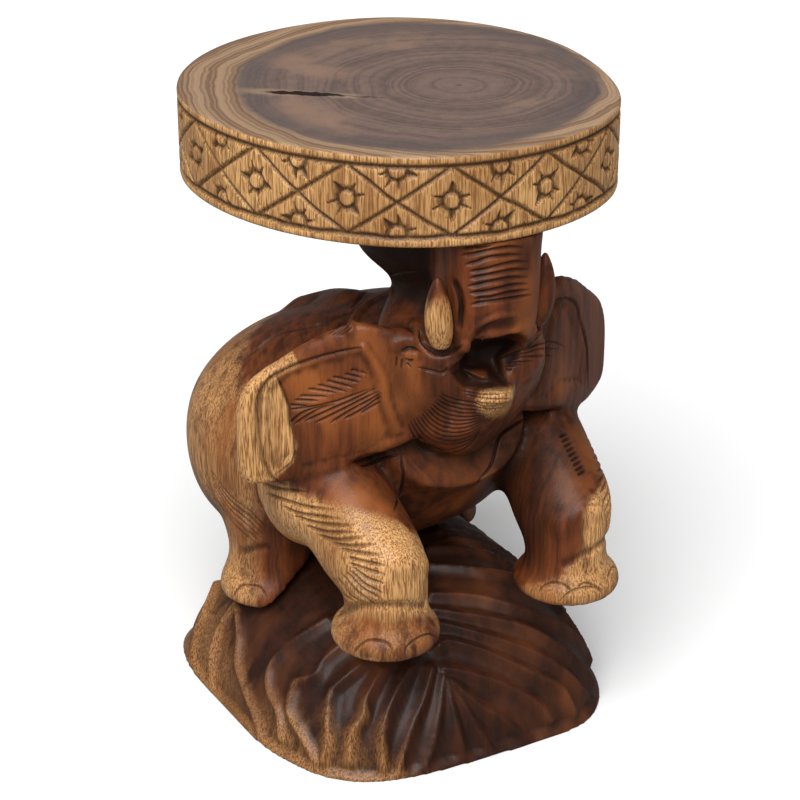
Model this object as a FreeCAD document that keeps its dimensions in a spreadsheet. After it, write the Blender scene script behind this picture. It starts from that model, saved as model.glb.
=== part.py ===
"""Carved elephant stool: a round log slice held up by an elephant crouching on a mound.

Millimetres, +Z up, the elephant faces -Y, and its own right side is -X.
The origin is the middle of the floor under the stool.
"""
import FreeCAD, Part
import math
import os

os.makedirs("parts", exist_ok=True)
doc = FreeCAD.newDocument("elephant_stool")

# Driving dimensions
SIZES = (
    ("stool_height", 508, "floor to the seat face"),
    ("seat_thickness", 68, "thickness of the log slice"),
    ("seat_radius", 165, "mean radius of the log slice"),
    ("seat_edge_round", 2.5, "rounding of both rims of the seat"),
    ("base_radius", 150, "mean radius of the foot of the mound"),
    ("base_height", 122, "floor to the crown of the mound"),
    ("rump_back", 176, "middle of the stool back to the rump"),
    ("body_length", 252, "rump to the front of the neck"),
    ("body_width", 280, "flank to flank"),
    ("body_depth", 200, "belly to back"),
    ("head_forward", 16, "neck to the middle of the head"),
    ("head_width", 128, "cheek to cheek"),
    ("head_depth", 100, "brow to nape"),
    ("chin_drop", 14, "neck down to the underside of the head"),
    ("mouth_rise", 78, "underside of the head up to the root of the trunk"),
    ("mouth_width", 58, "hollow of the mouth, side to side"),
    ("mouth_depth", 60, "hollow of the mouth, front to back"),
    ("mouth_height", 43, "floor of the mouth up to its roof"),
    ("mouth_forward", 58, "middle of the mouth ahead of the middle of the head"),
    ("mouth_drop", 20, "floor of the mouth below the root of the trunk"),
    ("trunk_width", 76, "trunk, side to side"),
    ("trunk_depth", 68, "trunk, front to back"),
    ("jaw_width", 68, "lower jaw, side to side"),
    ("jaw_depth", 72, "lower jaw, front to back"),
    ("jaw_rise", 65, "throat up to the lower lip"),
    ("jaw_reach", 50, "throat forward to the lower lip"),
    ("jaw_drop", 12, "throat below the underside of the head"),
    ("jaw_back", 10, "throat behind the middle of the head"),
    ("jaw_offset", -4, "lower jaw off centre towards the left side"),
    ("tusk_width", 20, "tusk, side to side"),
    ("tusk_depth", 22, "tusk, front to back"),
    ("tusk_length", 57, "root to tip of a tusk"),
    ("tusk_rise", 14, "root of the trunk up to the root of a tusk"),
    ("tusk_across", 41, "tusk root out from the middle"),
    ("tusk_forward", 38, "tusk root ahead of the middle of the head"),
    ("tusk_splay", 5, "tip of a tusk out from its root"),
    ("tusk_lean", 3, "tip of a tusk ahead of its root"),
    ("ear_root_across", 25, "ear root out from the middle"),
    ("ear_forward", 16, "ear root ahead of the middle of the head"),
    ("ear_reach", 140, "ear root out to the rim"),
    ("ear_sweep", 68, "ear root back to the rim"),
    ("ear_height", 124, "low corner to the top of an ear"),
    ("ear_drop", 28, "low corner of an ear below the head"),
    ("ear_thickness", 18, "thickness of an ear"),
    ("forefoot_width", 84, "forefoot across"),
    ("forefoot_across", 82.5, "forefoot out from the middle"),
    ("forefoot_forward", 45, "forefoot ahead of the neck"),
    ("forefoot_drop", 5, "forefoot sole below the crown of the mound"),
    ("hind_foot_width", 82, "hind foot across"),
    ("right_hind_across", 94, "right hind foot out from the middle"),
    ("right_hind_back", 50, "right hind foot behind the middle"),
    ("right_hind_drop", 42, "right hind sole below the crown of the mound"),
    ("right_thigh_back", 20, "right thigh behind its foot"),
    ("right_thigh_in", 10, "right thigh inward of its foot"),
    ("left_hind_across", 98, "left hind foot out from the middle"),
    ("left_hind_back", 118, "left hind foot behind the middle"),
    ("left_hind_drop", 60, "left hind sole below the crown of the mound"),
    ("left_thigh_back", -18, "left thigh behind its foot"),
    ("left_thigh_in", 24, "left thigh inward of its foot"),
    ("tail_length", 130, "root to tuft of the tail"),
    ("tail_width", 18, "thickness of the tail"),
    ("dowel_diameter", 14, "large glued dowels"),
    ("pin_diameter", 8, "small glued pins"),
    ("glue_gap", 0.1, "clearance round a dowel for glue"),
    ("end_gap", 1, "clearance past each end of a dowel"),
    ("seat_dowel_length", 60, "dowels up into the seat"),
    ("crown_dowel_across", 22, "dowels of the crown out from the middle"),
    ("neck_dowel_length", 70, "dowels from the neck into the head"),
    ("neck_dowel_across", 22, "neck dowels out from the middle"),
    ("shoulder_dowel_length", 60, "dowels from the forelegs into the shoulders"),
    ("hind_dowel_length", 110, "dowels from the mound through the hind legs"),
    ("belly_dowel_length", 70, "dowel from the mound into the belly"),
    ("ear_pin_length", 52, "pins from the head into the ears"),
    ("jaw_pin_length", 36, "pin from the head into the lower jaw"),
    ("tusk_pin_length", 22, "pins from the trunk into the tusks"),
    ("tail_pin_length", 32, "pin from the rump into the tail"),
)

sheet = doc.addObject("Spreadsheet::Sheet", "Sizes")
for row, (alias, value, meaning) in enumerate(SIZES, start=1):
    sheet.set(f"A{row}", alias)
    sheet.set(f"B{row}", str(value))
    sheet.set(f"C{row}", meaning)
    sheet.setAlias(f"B{row}", alias)
doc.recompute()


def size(alias):
    """Return one driving dimension as a number."""
    return float(sheet.get(alias))


# Helpers for carved forms: closed smooth rings, lofted end to end
SIDEWAYS = FreeCAD.Vector(1, 0, 0)
UP = FreeCAD.Vector(0, 0, 1)
RING_POINTS = 16
RING_ARCS = 4
LOFT_DEGREE = 3


def power(value, exponent):
    """Raise a value to a power and keep its sign."""
    return math.copysign(abs(value) ** exponent, value)


def smooth_wire(points):
    """Return a closed smooth curve through the points, in equal arcs so that rings match."""
    curve = Part.BSplineCurve()
    curve.interpolate(Points=points, PeriodicFlag=True, Parameters=list(range(len(points) + 1)))
    stops = [number * len(points) / RING_ARCS for number in range(RING_ARCS + 1)]
    return Part.Wire([curve.toShape(start, end) for start, end in zip(stops, stops[1:])])


def ring(center, across, along, half_across, half_along, squareness):
    """Return a closed curve between an ellipse and a rectangle."""
    points = []
    for step in range(RING_POINTS):
        turn = 2 * math.pi * step / RING_POINTS
        out = half_across * power(math.cos(turn), 2 / squareness)
        back = half_along * power(math.sin(turn), 2 / squareness)
        points.append(center + across * out + along * back)
    return smooth_wire(points)


def round_outline(radius, radius_shares, level):
    """Return points at equal turns round the middle, each at its share of the radius."""
    points = []
    for number, share in enumerate(radius_shares):
        turn = 2 * math.pi * number / len(radius_shares)
        points.append(FreeCAD.Vector(radius * share * math.cos(turn), radius * share * math.sin(turn), level))
    return points


def tilted(degrees):
    """Return the direction that leans from +Y up towards +Z."""
    angle = math.radians(degrees)
    return FreeCAD.Vector(0, math.cos(angle), math.sin(angle))


def carved(name, rings, anchor):
    """Make a blank by lofting rings, then set it on its anchor point."""
    blank = doc.addObject("Part::Feature", name)
    blank.Shape = Part.makeLoft(rings, True, False, False, LOFT_DEGREE)
    blank.Placement = FreeCAD.Placement(anchor, FreeCAD.Rotation())
    return blank


def fitted(label, blank, neighbours):
    """Cut the neighbours and the dowel holes out of a blank, one after the other."""
    piece = blank
    for number, neighbour in enumerate(neighbours, start=1):
        cut = doc.addObject("Part::Cut", f"{label}_fit_{number}")
        cut.Base = piece
        cut.Tool = neighbour
        piece = cut
    return piece


def mirrored(name, source):
    """Return the left-hand twin of a right-hand piece."""
    twin = doc.addObject("Part::Mirroring", name)
    twin.Source = source
    twin.Normal = SIDEWAYS
    return twin


nodes = {}


def sub_part(label, piece):
    """Give a finished piece its own name."""
    piece.Label = label
    nodes[label] = piece


def dowel(label, middle, direction, diameter_alias, length_alias):
    """Make a dowel centred on a point, and the hole that takes it."""
    turn = FreeCAD.Rotation(UP, direction)
    pegs = []
    for suffix, radius_gap, end_gap in (("", "", ""), ("_hole", " + Sizes.glue_gap", " + 2 * Sizes.end_gap")):
        peg = doc.addObject("Part::Cylinder", label + suffix)
        peg.setExpression("Radius", f"Sizes.{diameter_alias} / 2{radius_gap}")
        peg.setExpression("Height", f"Sizes.{length_alias}{end_gap}")
        reach = size(length_alias) / 2 + (size("end_gap") if suffix else 0)
        peg.Placement = FreeCAD.Placement(middle - direction * reach, turn)
        pegs.append(peg)
    sub_part(label, pegs[0])
    return pegs[1]


def dowel_pair(kind, middle, direction, diameter_alias, length_alias):
    """Make a right dowel and its left twin, and return both holes."""
    right_hole = dowel("right_" + kind, middle, direction, diameter_alias, length_alias)
    sub_part("left_" + kind, mirrored("left_" + kind, nodes["right_" + kind]))
    return right_hole, mirrored(f"left_{kind}_hole", right_hole)


# Levels and points that the pieces share
crown_level = size("base_height")
seat_underside = size("stool_height") - size("seat_thickness")
half_body = size("body_width") / 2
half_back = size("body_depth") / 2


def in_body(forward_share, up_share):
    """Return a point on the middle plane of the body, from rump to neck and belly to back."""
    back = size("rump_back") - forward_share * size("body_length")
    return FreeCAD.Vector(0, back, crown_level + up_share * size("body_depth"))


neck_up_share = 0.77
neck = in_body(1, neck_up_share)
head_foot = neck - FreeCAD.Vector(0, size("head_forward"), size("chin_drop"))
mouth_level = head_foot.z + size("mouth_rise")

# Mound: a rounded square, drawn in towards its crown like a dome
base_radius_shares = (
    0.96, 0.99, 1.09, 1.22, 1.18, 1.10, 1.07, 1.10, 1.19, 1.27, 1.19, 1.09,
    1.05, 1.08, 1.13, 1.17, 1.12, 1.05, 1.03, 1.07, 1.16, 1.14, 1.06, 0.98,
)
base_level_shares = (0, 0.16, 0.37, 0.57, 0.75, 0.885, 0.96, 1)
dome_rise_power = 1.6
dome_draw_power = 0.42
dome_crown_share = 0.14


def mound_ring(level_share):
    """Return the outline of the mound at one level."""
    fullness = (1 - level_share ** dome_rise_power) ** dome_draw_power
    radius = size("base_radius") * max(fullness, dome_crown_share)
    return smooth_wire(round_outline(radius, base_radius_shares, level_share * size("base_height")))


mound_blank = carved("mound_blank", [mound_ring(share) for share in base_level_shares], FreeCAD.Vector())

# Body: rings from the rump to the neck, as (forward, up, tilt, width, depth)
body_section_shares = (
    (0.00, 0.24, 90, 0.24, 0.34),
    (0.03, 0.25, 88, 0.56, 0.68),
    (0.11, 0.28, 84, 0.81, 0.88),
    (0.24, 0.33, 78, 0.96, 0.98),
    (0.39, 0.39, 72, 1.00, 1.03),
    (0.56, 0.49, 66, 0.91, 1.01),
    (0.73, 0.60, 60, 0.73, 0.93),
    (0.87, 0.68, 60, 0.57, 0.77),
    (1.00, neck_up_share, 60, 0.46, 0.64),
)
body_squareness = 2.3


def body_ring(section):
    """Return one ring round the body, in the body's own place."""
    forward, up, tilt, width, depth = section
    center = in_body(forward, up) - in_body(0, 0)
    return ring(center, SIDEWAYS, tilted(tilt), width * half_body, depth * half_back, body_squareness)


body_blank = carved("body_blank", [body_ring(section) for section in body_section_shares], in_body(0, 0))

# Head and crown: rings from the underside of the head up to the seat, as (up, back, width, depth)
head_section_shares = (
    (0.00, 0.00, 0.63, 0.52),
    (0.16, -0.03, 0.88, 0.72),
    (0.35, 0.00, 1.00, 1.00),
    (0.52, 0.08, 0.88, 1.00),
    (0.65, 0.24, 0.63, 0.76),
    (0.72, 0.32, 0.75, 0.88),
    (0.80, 0.36, 0.94, 1.04),
    (1.00, 0.42, 1.13, 1.20),
)
head_squareness = 2.2
head_rise = seat_underside - head_foot.z
FORWARD_TO_BACK = tilted(0)


def head_ring(section):
    """Return one level ring round the head."""
    up, back, width, depth = section
    center = FreeCAD.Vector(0, back * size("head_depth"), up * head_rise)
    half_width = width * size("head_width") / 2
    half_depth = depth * size("head_depth") / 2
    return ring(center, SIDEWAYS, FORWARD_TO_BACK, half_width, half_depth, head_squareness)


head_blank = carved("head_blank", [head_ring(section) for section in head_section_shares], head_foot)

# Trunk: raised against the underside of the seat, as (up, forward, width, depth)
trunk_section_shares = (
    (0.00, 0.26, 0.84, 0.88),
    (0.24, 0.32, 0.95, 1.00),
    (0.60, 0.34, 1.00, 1.00),
    (1.00, 0.34, 1.05, 1.06),
)
trunk_squareness = 2.5
trunk_root = FreeCAD.Vector(0, head_foot.y, mouth_level)
trunk_rise = seat_underside - mouth_level


def trunk_ring(section):
    """Return one level ring round the trunk."""
    up, forward, width, depth = section
    center = FreeCAD.Vector(0, -forward * size("head_depth"), up * trunk_rise)
    half_width = width * size("trunk_width") / 2
    half_depth = depth * size("trunk_depth") / 2
    return ring(center, SIDEWAYS, FORWARD_TO_BACK, half_width, half_depth, trunk_squareness)


trunk_blank = carved("trunk_blank", [trunk_ring(section) for section in trunk_section_shares], trunk_root)

# Lower jaw: a pouch under the head that ends in a lip, as (up, forward, tilt, width, depth)
jaw_section_shares = (
    (0.00, 0.02, 20, 0.58, 0.48),
    (0.20, 0.16, 15, 0.86, 0.82),
    (0.50, 0.36, 5, 0.96, 0.98),
    (0.82, 0.72, -8, 0.78, 1.02),
    (1.00, 1.06, -18, 0.48, 0.80),
)
round_squareness = 2
throat = head_foot + FreeCAD.Vector(size("jaw_offset"), size("jaw_back"), -size("jaw_drop"))


def jaw_ring(section):
    """Return one ring round the lower jaw."""
    up, forward, tilt, width, depth = section
    center = FreeCAD.Vector(0, -forward * size("jaw_reach"), up * size("jaw_rise"))
    half_width = width * size("jaw_width") / 2
    half_depth = depth * size("jaw_depth") / 2
    return ring(center, SIDEWAYS, tilted(tilt), half_width, half_depth, round_squareness)


jaw_blank = carved("jaw_blank", [jaw_ring(section) for section in jaw_section_shares], throat)

# Mouth: the open hollow between the trunk and the lower jaw, as (up, width, depth)
mouth_section_shares = (
    (0.00, 0.50, 0.56),
    (0.20, 0.88, 0.90),
    (0.48, 1.00, 1.00),
    (0.78, 0.84, 0.88),
    (1.00, 0.42, 0.56),
)
mouth_floor = FreeCAD.Vector(
    throat.x, head_foot.y - size("mouth_forward"), mouth_level - size("mouth_drop")
)


def mouth_ring(section):
    """Return one level ring round the hollow of the mouth."""
    up, width, depth = section
    center = UP * (up * size("mouth_height"))
    half_width = width * size("mouth_width") / 2
    half_depth = depth * size("mouth_depth") / 2
    return ring(center, SIDEWAYS, FORWARD_TO_BACK, half_width, half_depth, round_squareness)


mouth_hollow = carved("mouth_hollow", [mouth_ring(section) for section in mouth_section_shares], mouth_floor)

# Right tusk: a short blade beside the trunk, as (up, out, width)
tusk_section_shares = (
    (0.00, 0.0, 0.60),
    (0.14, 0.2, 0.90),
    (0.42, 0.6, 1.00),
    (0.72, 0.9, 0.74),
    (1.00, 1.0, 0.14),
)
tusk_root = FreeCAD.Vector(
    -size("tusk_across"), head_foot.y - size("tusk_forward"), mouth_level + size("tusk_rise")
)


def tusk_ring(section):
    """Return one level ring round the right tusk."""
    up, out, width = section
    center = FreeCAD.Vector(-out * size("tusk_splay"), -out * size("tusk_lean"), up * size("tusk_length"))
    half_width = width * size("tusk_width") / 2
    half_depth = width * size("tusk_depth") / 2
    return ring(center, SIDEWAYS, FORWARD_TO_BACK, half_width, half_depth, round_squareness)


tusk_blank = carved("tusk_blank", [tusk_ring(section) for section in tusk_section_shares], tusk_root)

# Right ear: upright rings from the root out to the rim, as (out, back, low, high, thickness)
ear_section_shares = (
    (0.00, 0.00, 0.45, 0.89, 0.8),
    (0.21, 0.10, 0.26, 0.99, 1.0),
    (0.39, 0.24, 0.19, 1.00, 1.0),
    (0.61, 0.50, 0.09, 0.95, 1.0),
    (0.82, 0.78, 0.00, 0.83, 0.9),
    (0.95, 0.94, 0.01, 0.66, 0.7),
    (1.00, 1.00, 0.07, 0.45, 0.4),
)
ear_squareness = 3
ear_root = head_foot - FreeCAD.Vector(size("ear_root_across"), size("ear_forward"), size("ear_drop"))
ear_face = FreeCAD.Vector(-size("ear_sweep"), -size("ear_reach"), 0).normalize()


def ear_ring(section):
    """Return one upright ring round the right ear."""
    out, back, low, high, thickness = section
    level = (low + high) / 2 * size("ear_height")
    center = FreeCAD.Vector(-out * size("ear_reach"), back * size("ear_sweep"), level)
    half_thickness = thickness * size("ear_thickness") / 2
    half_height = (high - low) / 2 * size("ear_height")
    return ring(center, ear_face, UP, half_thickness, half_height, ear_squareness)


ear_blank = carved("ear_blank", [ear_ring(section) for section in ear_section_shares], ear_root)

# Right foreleg: raised clear of the mound and bent back to the flank, as (up, back, out, tilt, width, depth)
foreleg_section_shares = (
    (0.00, 0.00, 1.00, 0, 0.96, 0.96),
    (0.06, 0.00, 1.00, 0, 1.00, 1.00),
    (0.15, 0.00, 1.00, 0, 0.95, 0.96),
    (0.29, 0.00, 0.99, 0, 0.76, 0.79),
    (0.41, 0.02, 0.99, 0, 0.76, 0.81),
    (0.60, 0.07, 1.02, -20, 0.86, 0.98),
    (0.84, 0.27, 1.06, -45, 0.90, 1.02),
    (1.00, 0.61, 1.11, -72, 0.95, 1.19),
    (1.00, 1.00, 1.11, -84, 0.95, 1.24),
    (1.00, 1.37, 0.97, -90, 0.81, 1.05),
    (1.00, 1.60, 0.75, -90, 0.40, 0.52),
)
shoulder_forward_share = 0.754
shoulder_up_share = 0.43
shoulder = in_body(shoulder_forward_share, shoulder_up_share)
fore_sole = FreeCAD.Vector(0, neck.y - size("forefoot_forward"), crown_level - size("forefoot_drop"))
foreleg_rise = shoulder.z - fore_sole.z
foreleg_run = shoulder.y - fore_sole.y


def foreleg_ring(section):
    """Return one ring round the right foreleg."""
    up, back, out, tilt, width, depth = section
    center = FreeCAD.Vector(-out * size("forefoot_across"), back * foreleg_run, up * foreleg_rise)
    half_width = width * size("forefoot_width") / 2
    half_depth = depth * size("forefoot_width") / 2
    return ring(center, SIDEWAYS, tilted(tilt), half_width, half_depth, round_squareness)


foreleg_blank = carved("foreleg_blank", [foreleg_ring(section) for section in foreleg_section_shares], fore_sole)

# Hind legs: crouched between the mound and the body, as (up, back, inward, width, depth)
hind_section_shares = (
    (0.00, 0.0, 0.0, 1.00, 1.00),
    (0.12, 0.0, 0.0, 1.00, 1.00),
    (0.33, 0.2, 0.3, 0.83, 0.92),
    (0.59, 0.5, 0.6, 0.88, 1.07),
    (1.00, 1.0, 1.0, 1.02, 1.25),
    (1.28, 1.5, 1.6, 0.88, 1.05),
)
thigh_up_share = 0.215
thigh_level = in_body(0, thigh_up_share).z
hind_thighs = {}
hind_blanks = {}
for side_name, side in (("right", -1), ("left", 1)):
    sole_drop = size(f"{side_name}_hind_drop")
    hind_sole = FreeCAD.Vector(side * size(f"{side_name}_hind_across"), size(f"{side_name}_hind_back"), 0)
    hind_sole.z = crown_level - sole_drop
    thigh_run = FreeCAD.Vector(-side * size(f"{side_name}_thigh_in"), size(f"{side_name}_thigh_back"), 0)
    hind_rise = thigh_level - hind_sole.z
    hind_rings = []
    for up, back, inward, width, depth in hind_section_shares:
        hind_center = FreeCAD.Vector(inward * thigh_run.x, back * thigh_run.y, up * hind_rise)
        half_width = width * size("hind_foot_width") / 2
        half_depth = depth * size("hind_foot_width") / 2
        hind_rings.append(
            ring(hind_center, SIDEWAYS, FORWARD_TO_BACK, half_width, half_depth, round_squareness)
        )
    hind_thighs[side_name] = hind_sole + thigh_run
    hind_blanks[side_name] = carved(f"{side_name}_hind_blank", hind_rings, hind_sole)

# Tail: hangs down the rump, as (down, back in tail widths, width)
tail_section_shares = (
    (0.00, -0.40, 0.9),
    (0.20, 0.00, 1.0),
    (0.50, 0.15, 0.9),
    (0.75, 0.10, 0.8),
    (0.90, -0.10, 1.2),
    (1.00, -0.30, 0.5),
)
tail_up_share = 0.57
tail_root = in_body(0, tail_up_share)
tail_rings = []
for down, back, width in tail_section_shares:
    tail_center = FreeCAD.Vector(0, back * size("tail_width"), -down * size("tail_length"))
    tail_half = width * size("tail_width") / 2
    tail_rings.append(ring(tail_center, SIDEWAYS, FORWARD_TO_BACK, tail_half, tail_half, round_squareness))
tail_blank = carved("tail_blank", tail_rings, tail_root)

# Glued dowels, with the holes that take them
crown_dowel_back_share = 0.36
crown_seat_joint = FreeCAD.Vector(
    -size("crown_dowel_across"), head_foot.y + crown_dowel_back_share * size("head_depth"), seat_underside
)
crown_holes = dowel_pair("crown_dowel", crown_seat_joint, UP, "dowel_diameter", "seat_dowel_length")

trunk_dowel_forward_share = 0.42
trunk_seat_joint = trunk_root + FreeCAD.Vector(0, -trunk_dowel_forward_share * size("head_depth"), trunk_rise)
trunk_hole = dowel("trunk_dowel", trunk_seat_joint, UP, "dowel_diameter", "seat_dowel_length")

head_middle_share = 0.16
head_middle = head_foot + UP * (head_middle_share * head_rise)
neck_joint = neck - SIDEWAYS * size("neck_dowel_across")
neck_way = (head_middle - neck).normalize()
neck_holes = dowel_pair("neck_dowel", neck_joint, neck_way, "dowel_diameter", "neck_dowel_length")

shoulder_joint = FreeCAD.Vector(shoulder)
shoulder_joint.x = -(size("forefoot_across") - size("forefoot_width") / 2 + size("shoulder_dowel_length") / 2)
shoulder_holes = dowel_pair(
    "shoulder_dowel", shoulder_joint, SIDEWAYS, "dowel_diameter", "shoulder_dowel_length"
)

hind_holes = {}
for side_name, thigh in hind_thighs.items():
    hind_joint = FreeCAD.Vector(thigh.x, thigh.y, thigh_level - size("hind_dowel_length") / 2)
    hind_holes[side_name] = dowel(
        f"{side_name}_hind_dowel", hind_joint, UP, "dowel_diameter", "hind_dowel_length"
    )

belly_forward_share = 0.5
belly_joint = in_body(belly_forward_share, 0)
belly_hole = dowel("belly_dowel", belly_joint, UP, "dowel_diameter", "belly_dowel_length")

ear_start, ear_end = ear_section_shares[0], ear_section_shares[2]
ear_run = FreeCAD.Vector(
    -(ear_end[0] - ear_start[0]) * size("ear_reach"), (ear_end[1] - ear_start[1]) * size("ear_sweep"), 0
)
ear_pin_share = 0.7
ear_pin_level_shares = {"upper": 0.78, "lower": 0.54}
ear_holes = []
for place, level_share in ear_pin_level_shares.items():
    pin_middle = ear_root + ear_run * ear_pin_share + UP * (level_share * size("ear_height"))
    pin_way = FreeCAD.Vector(ear_run).normalize()
    ear_holes.append(dowel_pair(f"{place}_ear_pin", pin_middle, pin_way, "pin_diameter", "ear_pin_length"))

jaw_pin_up_share = 0.72
head_front_share = 0.29
jaw_joint = FreeCAD.Vector(
    throat.x, head_foot.y - head_front_share * size("head_depth"), throat.z + jaw_pin_up_share * size("jaw_rise")
)
jaw_hole = dowel("jaw_pin", jaw_joint, FORWARD_TO_BACK, "pin_diameter", "jaw_pin_length")

tusk_pin_in_share = 0.15
tusk_pin_up_share = 0.45
tusk_joint = tusk_root + FreeCAD.Vector(
    tusk_pin_in_share * size("tusk_width"), 0, tusk_pin_up_share * size("tusk_length")
)
tusk_holes = dowel_pair("tusk_pin", tusk_joint, SIDEWAYS, "pin_diameter", "tusk_pin_length")

tail_pin_down_share = 0.3
tail_joint = tail_root - UP * (tail_pin_down_share * size("tail_length"))
tail_joint.y += size("tail_width") / 4 - size("tail_pin_length") / 2
tail_hole = dowel("tail_pin", tail_joint, FORWARD_TO_BACK, "pin_diameter", "tail_pin_length")

# Seat: a slice of the log, its outline given at equal turns round the middle
seat_radius_shares = (
    0.99, 1.04, 1.09, 1.11, 1.09, 1.07, 1.04, 1.00, 0.95, 0.925, 0.93, 0.96, 0.98, 1.00, 1.01, 0.98,
)
seat_body = doc.addObject("PartDesign::Body", "seat_body")
seat_sketch = seat_body.newObject("Sketcher::SketchObject", "seat_outline")
floor_plane = next(plane for plane in seat_body.Origin.OriginFeatures if plane.Role == "XY_Plane")
seat_sketch.AttachmentSupport = (floor_plane, [""])
seat_sketch.MapMode = "FlatFace"
seat_sketch.setExpression("AttachmentOffset.Base.z", "Sizes.stool_height - Sizes.seat_thickness")
seat_points = round_outline(size("seat_radius"), seat_radius_shares, 0)
seat_curve = Part.BSplineCurve()
seat_curve.interpolate(Points=seat_points, PeriodicFlag=True)
seat_sketch.addGeometry(seat_curve, False)
seat_pad = seat_body.newObject("PartDesign::Pad", "seat_slice")
seat_pad.Profile = seat_sketch
seat_pad.setExpression("Length", "Sizes.seat_thickness")
doc.recompute()
rims = [f"Edge{number}" for number, edge in enumerate(seat_pad.Shape.Edges, start=1) if edge.isClosed()]
seat_rims = seat_body.newObject("PartDesign::Fillet", "seat_rims")
seat_rims.Base = (seat_pad, rims)
seat_rims.setExpression("Radius", "Sizes.seat_edge_round")
seat_body.Tip = seat_rims

# Fitting: each piece gives way to the neighbours that it is glued to
mound_holes = [belly_hole, *hind_holes.values()]
body_holes = [*mound_holes, *neck_holes, *shoulder_holes, tail_hole]
head_holes = [mouth_hollow, *neck_holes, *crown_holes, jaw_hole, *ear_holes[0], *ear_holes[1], *tusk_holes]
trunk_fit = [head_blank, mouth_hollow, *tusk_holes, trunk_hole]

sub_part("seat_slab", fitted("seat_slab", seat_body, [*crown_holes, trunk_hole]))
sub_part("base_mound", fitted("base_mound", mound_blank, mound_holes))
sub_part("torso", fitted("torso", body_blank, [mound_blank, *body_holes]))
sub_part("head", fitted("head", head_blank, [body_blank, *head_holes]))
sub_part("trunk", fitted("trunk", trunk_blank, trunk_fit))
jaw_fit = [head_blank, trunk_blank, body_blank, mouth_hollow, jaw_hole]
sub_part("lower_jaw", fitted("lower_jaw", jaw_blank, jaw_fit))
sub_part("tail", fitted("tail", tail_blank, [body_blank, mound_blank, tail_hole]))
for side_name, blank in hind_blanks.items():
    label = f"{side_name}_hind_leg"
    sub_part(label, fitted(label, blank, [body_blank, mound_blank, hind_holes[side_name]]))

hands = (
    ("right", foreleg_blank, ear_blank, tusk_blank, 0),
    ("left", *(mirrored(f"left_{blank.Name}", blank) for blank in (foreleg_blank, ear_blank, tusk_blank)), 1),
)
for side_name, leg, flap, blade, hand in hands:
    ear_pin_holes = [pair[hand] for pair in ear_holes]
    leg_fit = [body_blank, head_blank, jaw_blank, shoulder_holes[hand]]
    sub_part(f"{side_name}_foreleg", fitted(f"{side_name}_foreleg", leg, leg_fit))
    ear_fit = [head_blank, body_blank, leg, *ear_pin_holes]
    sub_part(f"{side_name}_ear", fitted(f"{side_name}_ear", flap, ear_fit))
    tusk_fit = [head_blank, trunk_blank, tusk_holes[hand]]
    sub_part(f"{side_name}_tusk", fitted(f"{side_name}_tusk", blade, tusk_fit))

doc.recompute()

# Checks before anything is written
for item in doc.Objects:
    if "Invalid" in item.State or "Error" in item.State:
        raise RuntimeError(f"{item.Name} failed: {item.State}")
for label, piece in nodes.items():
    shape = piece.Shape
    if shape.isNull() or not shape.isValid():
        raise RuntimeError(f"{label} has no valid shape")
    if len(shape.Solids) != 1:
        raise RuntimeError(f"{label} has {len(shape.Solids)} solids")

for label, piece in nodes.items():
    piece.Shape.exportStep(f"parts/{label}.step")
    print(label, round(piece.Shape.Volume), "cubic millimetres")
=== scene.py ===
"""Looks of a carved elephant stool: wood, carving and finish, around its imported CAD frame."""

import math

import bmesh
import bpy
import numpy as np
from mathutils import Matrix, Vector
from mathutils.bvhtree import BVHTree


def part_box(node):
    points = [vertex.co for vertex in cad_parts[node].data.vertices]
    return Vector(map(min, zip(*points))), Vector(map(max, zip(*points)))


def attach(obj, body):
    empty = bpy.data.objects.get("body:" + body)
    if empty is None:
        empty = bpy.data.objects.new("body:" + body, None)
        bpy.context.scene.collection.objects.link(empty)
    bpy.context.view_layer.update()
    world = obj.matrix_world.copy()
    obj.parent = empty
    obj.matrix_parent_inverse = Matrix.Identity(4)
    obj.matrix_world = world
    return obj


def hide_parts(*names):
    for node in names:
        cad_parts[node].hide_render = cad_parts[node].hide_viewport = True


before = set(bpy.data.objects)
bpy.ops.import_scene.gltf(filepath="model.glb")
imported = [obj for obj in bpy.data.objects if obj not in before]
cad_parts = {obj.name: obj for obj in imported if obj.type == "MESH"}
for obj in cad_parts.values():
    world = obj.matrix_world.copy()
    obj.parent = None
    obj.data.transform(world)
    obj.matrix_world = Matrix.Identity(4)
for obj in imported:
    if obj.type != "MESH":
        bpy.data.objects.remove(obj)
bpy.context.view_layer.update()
scene = bpy.context.scene

# Camera: it stands where the photograph was taken from, ahead of the elephant and to its right,
# and looks down on the stool. The photograph is 800 pixels wide and high.
PHOTO_SIDE = 800
FOCAL_PIXELS = 2357.5
CAMERA_PLACE = Vector((-0.84681, -1.46672, 1.05829))
CAMERA_TURN = math.radians(-30)
CAMERA_DOWN = math.radians(25.587)
SENSOR_WIDTH = 36
camera_data = bpy.data.cameras.new("camera")
camera_data.sensor_width = SENSOR_WIDTH
camera_data.lens = FOCAL_PIXELS / PHOTO_SIDE * SENSOR_WIDTH
camera = bpy.data.objects.new("camera", camera_data)
camera.location = CAMERA_PLACE
camera.rotation_euler = (math.radians(90) - CAMERA_DOWN, 0, CAMERA_TURN)
scene.collection.objects.link(camera)
scene.camera = camera
scene.view_settings.view_transform = "Standard"


def photo_ray(across, down):
    """Return the direction from the camera through one point of the photograph."""
    half = PHOTO_SIDE / 2
    ray = Vector(((across - half) / FOCAL_PIXELS, (half - down) / FOCAL_PIXELS, -1))
    return (camera.rotation_euler.to_matrix() @ ray).normalized()


# Studio: one broad soft light high behind the camera and a dim white room, over a pale floor
# that is seen white but throws little light up, so that the hollows of the carving stay deep.
SUN_TURN = math.radians(-42)
SUN_TILT = math.radians(38)
SUN_STRENGTH = 3.4
SUN_SPREAD = math.radians(50)
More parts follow.
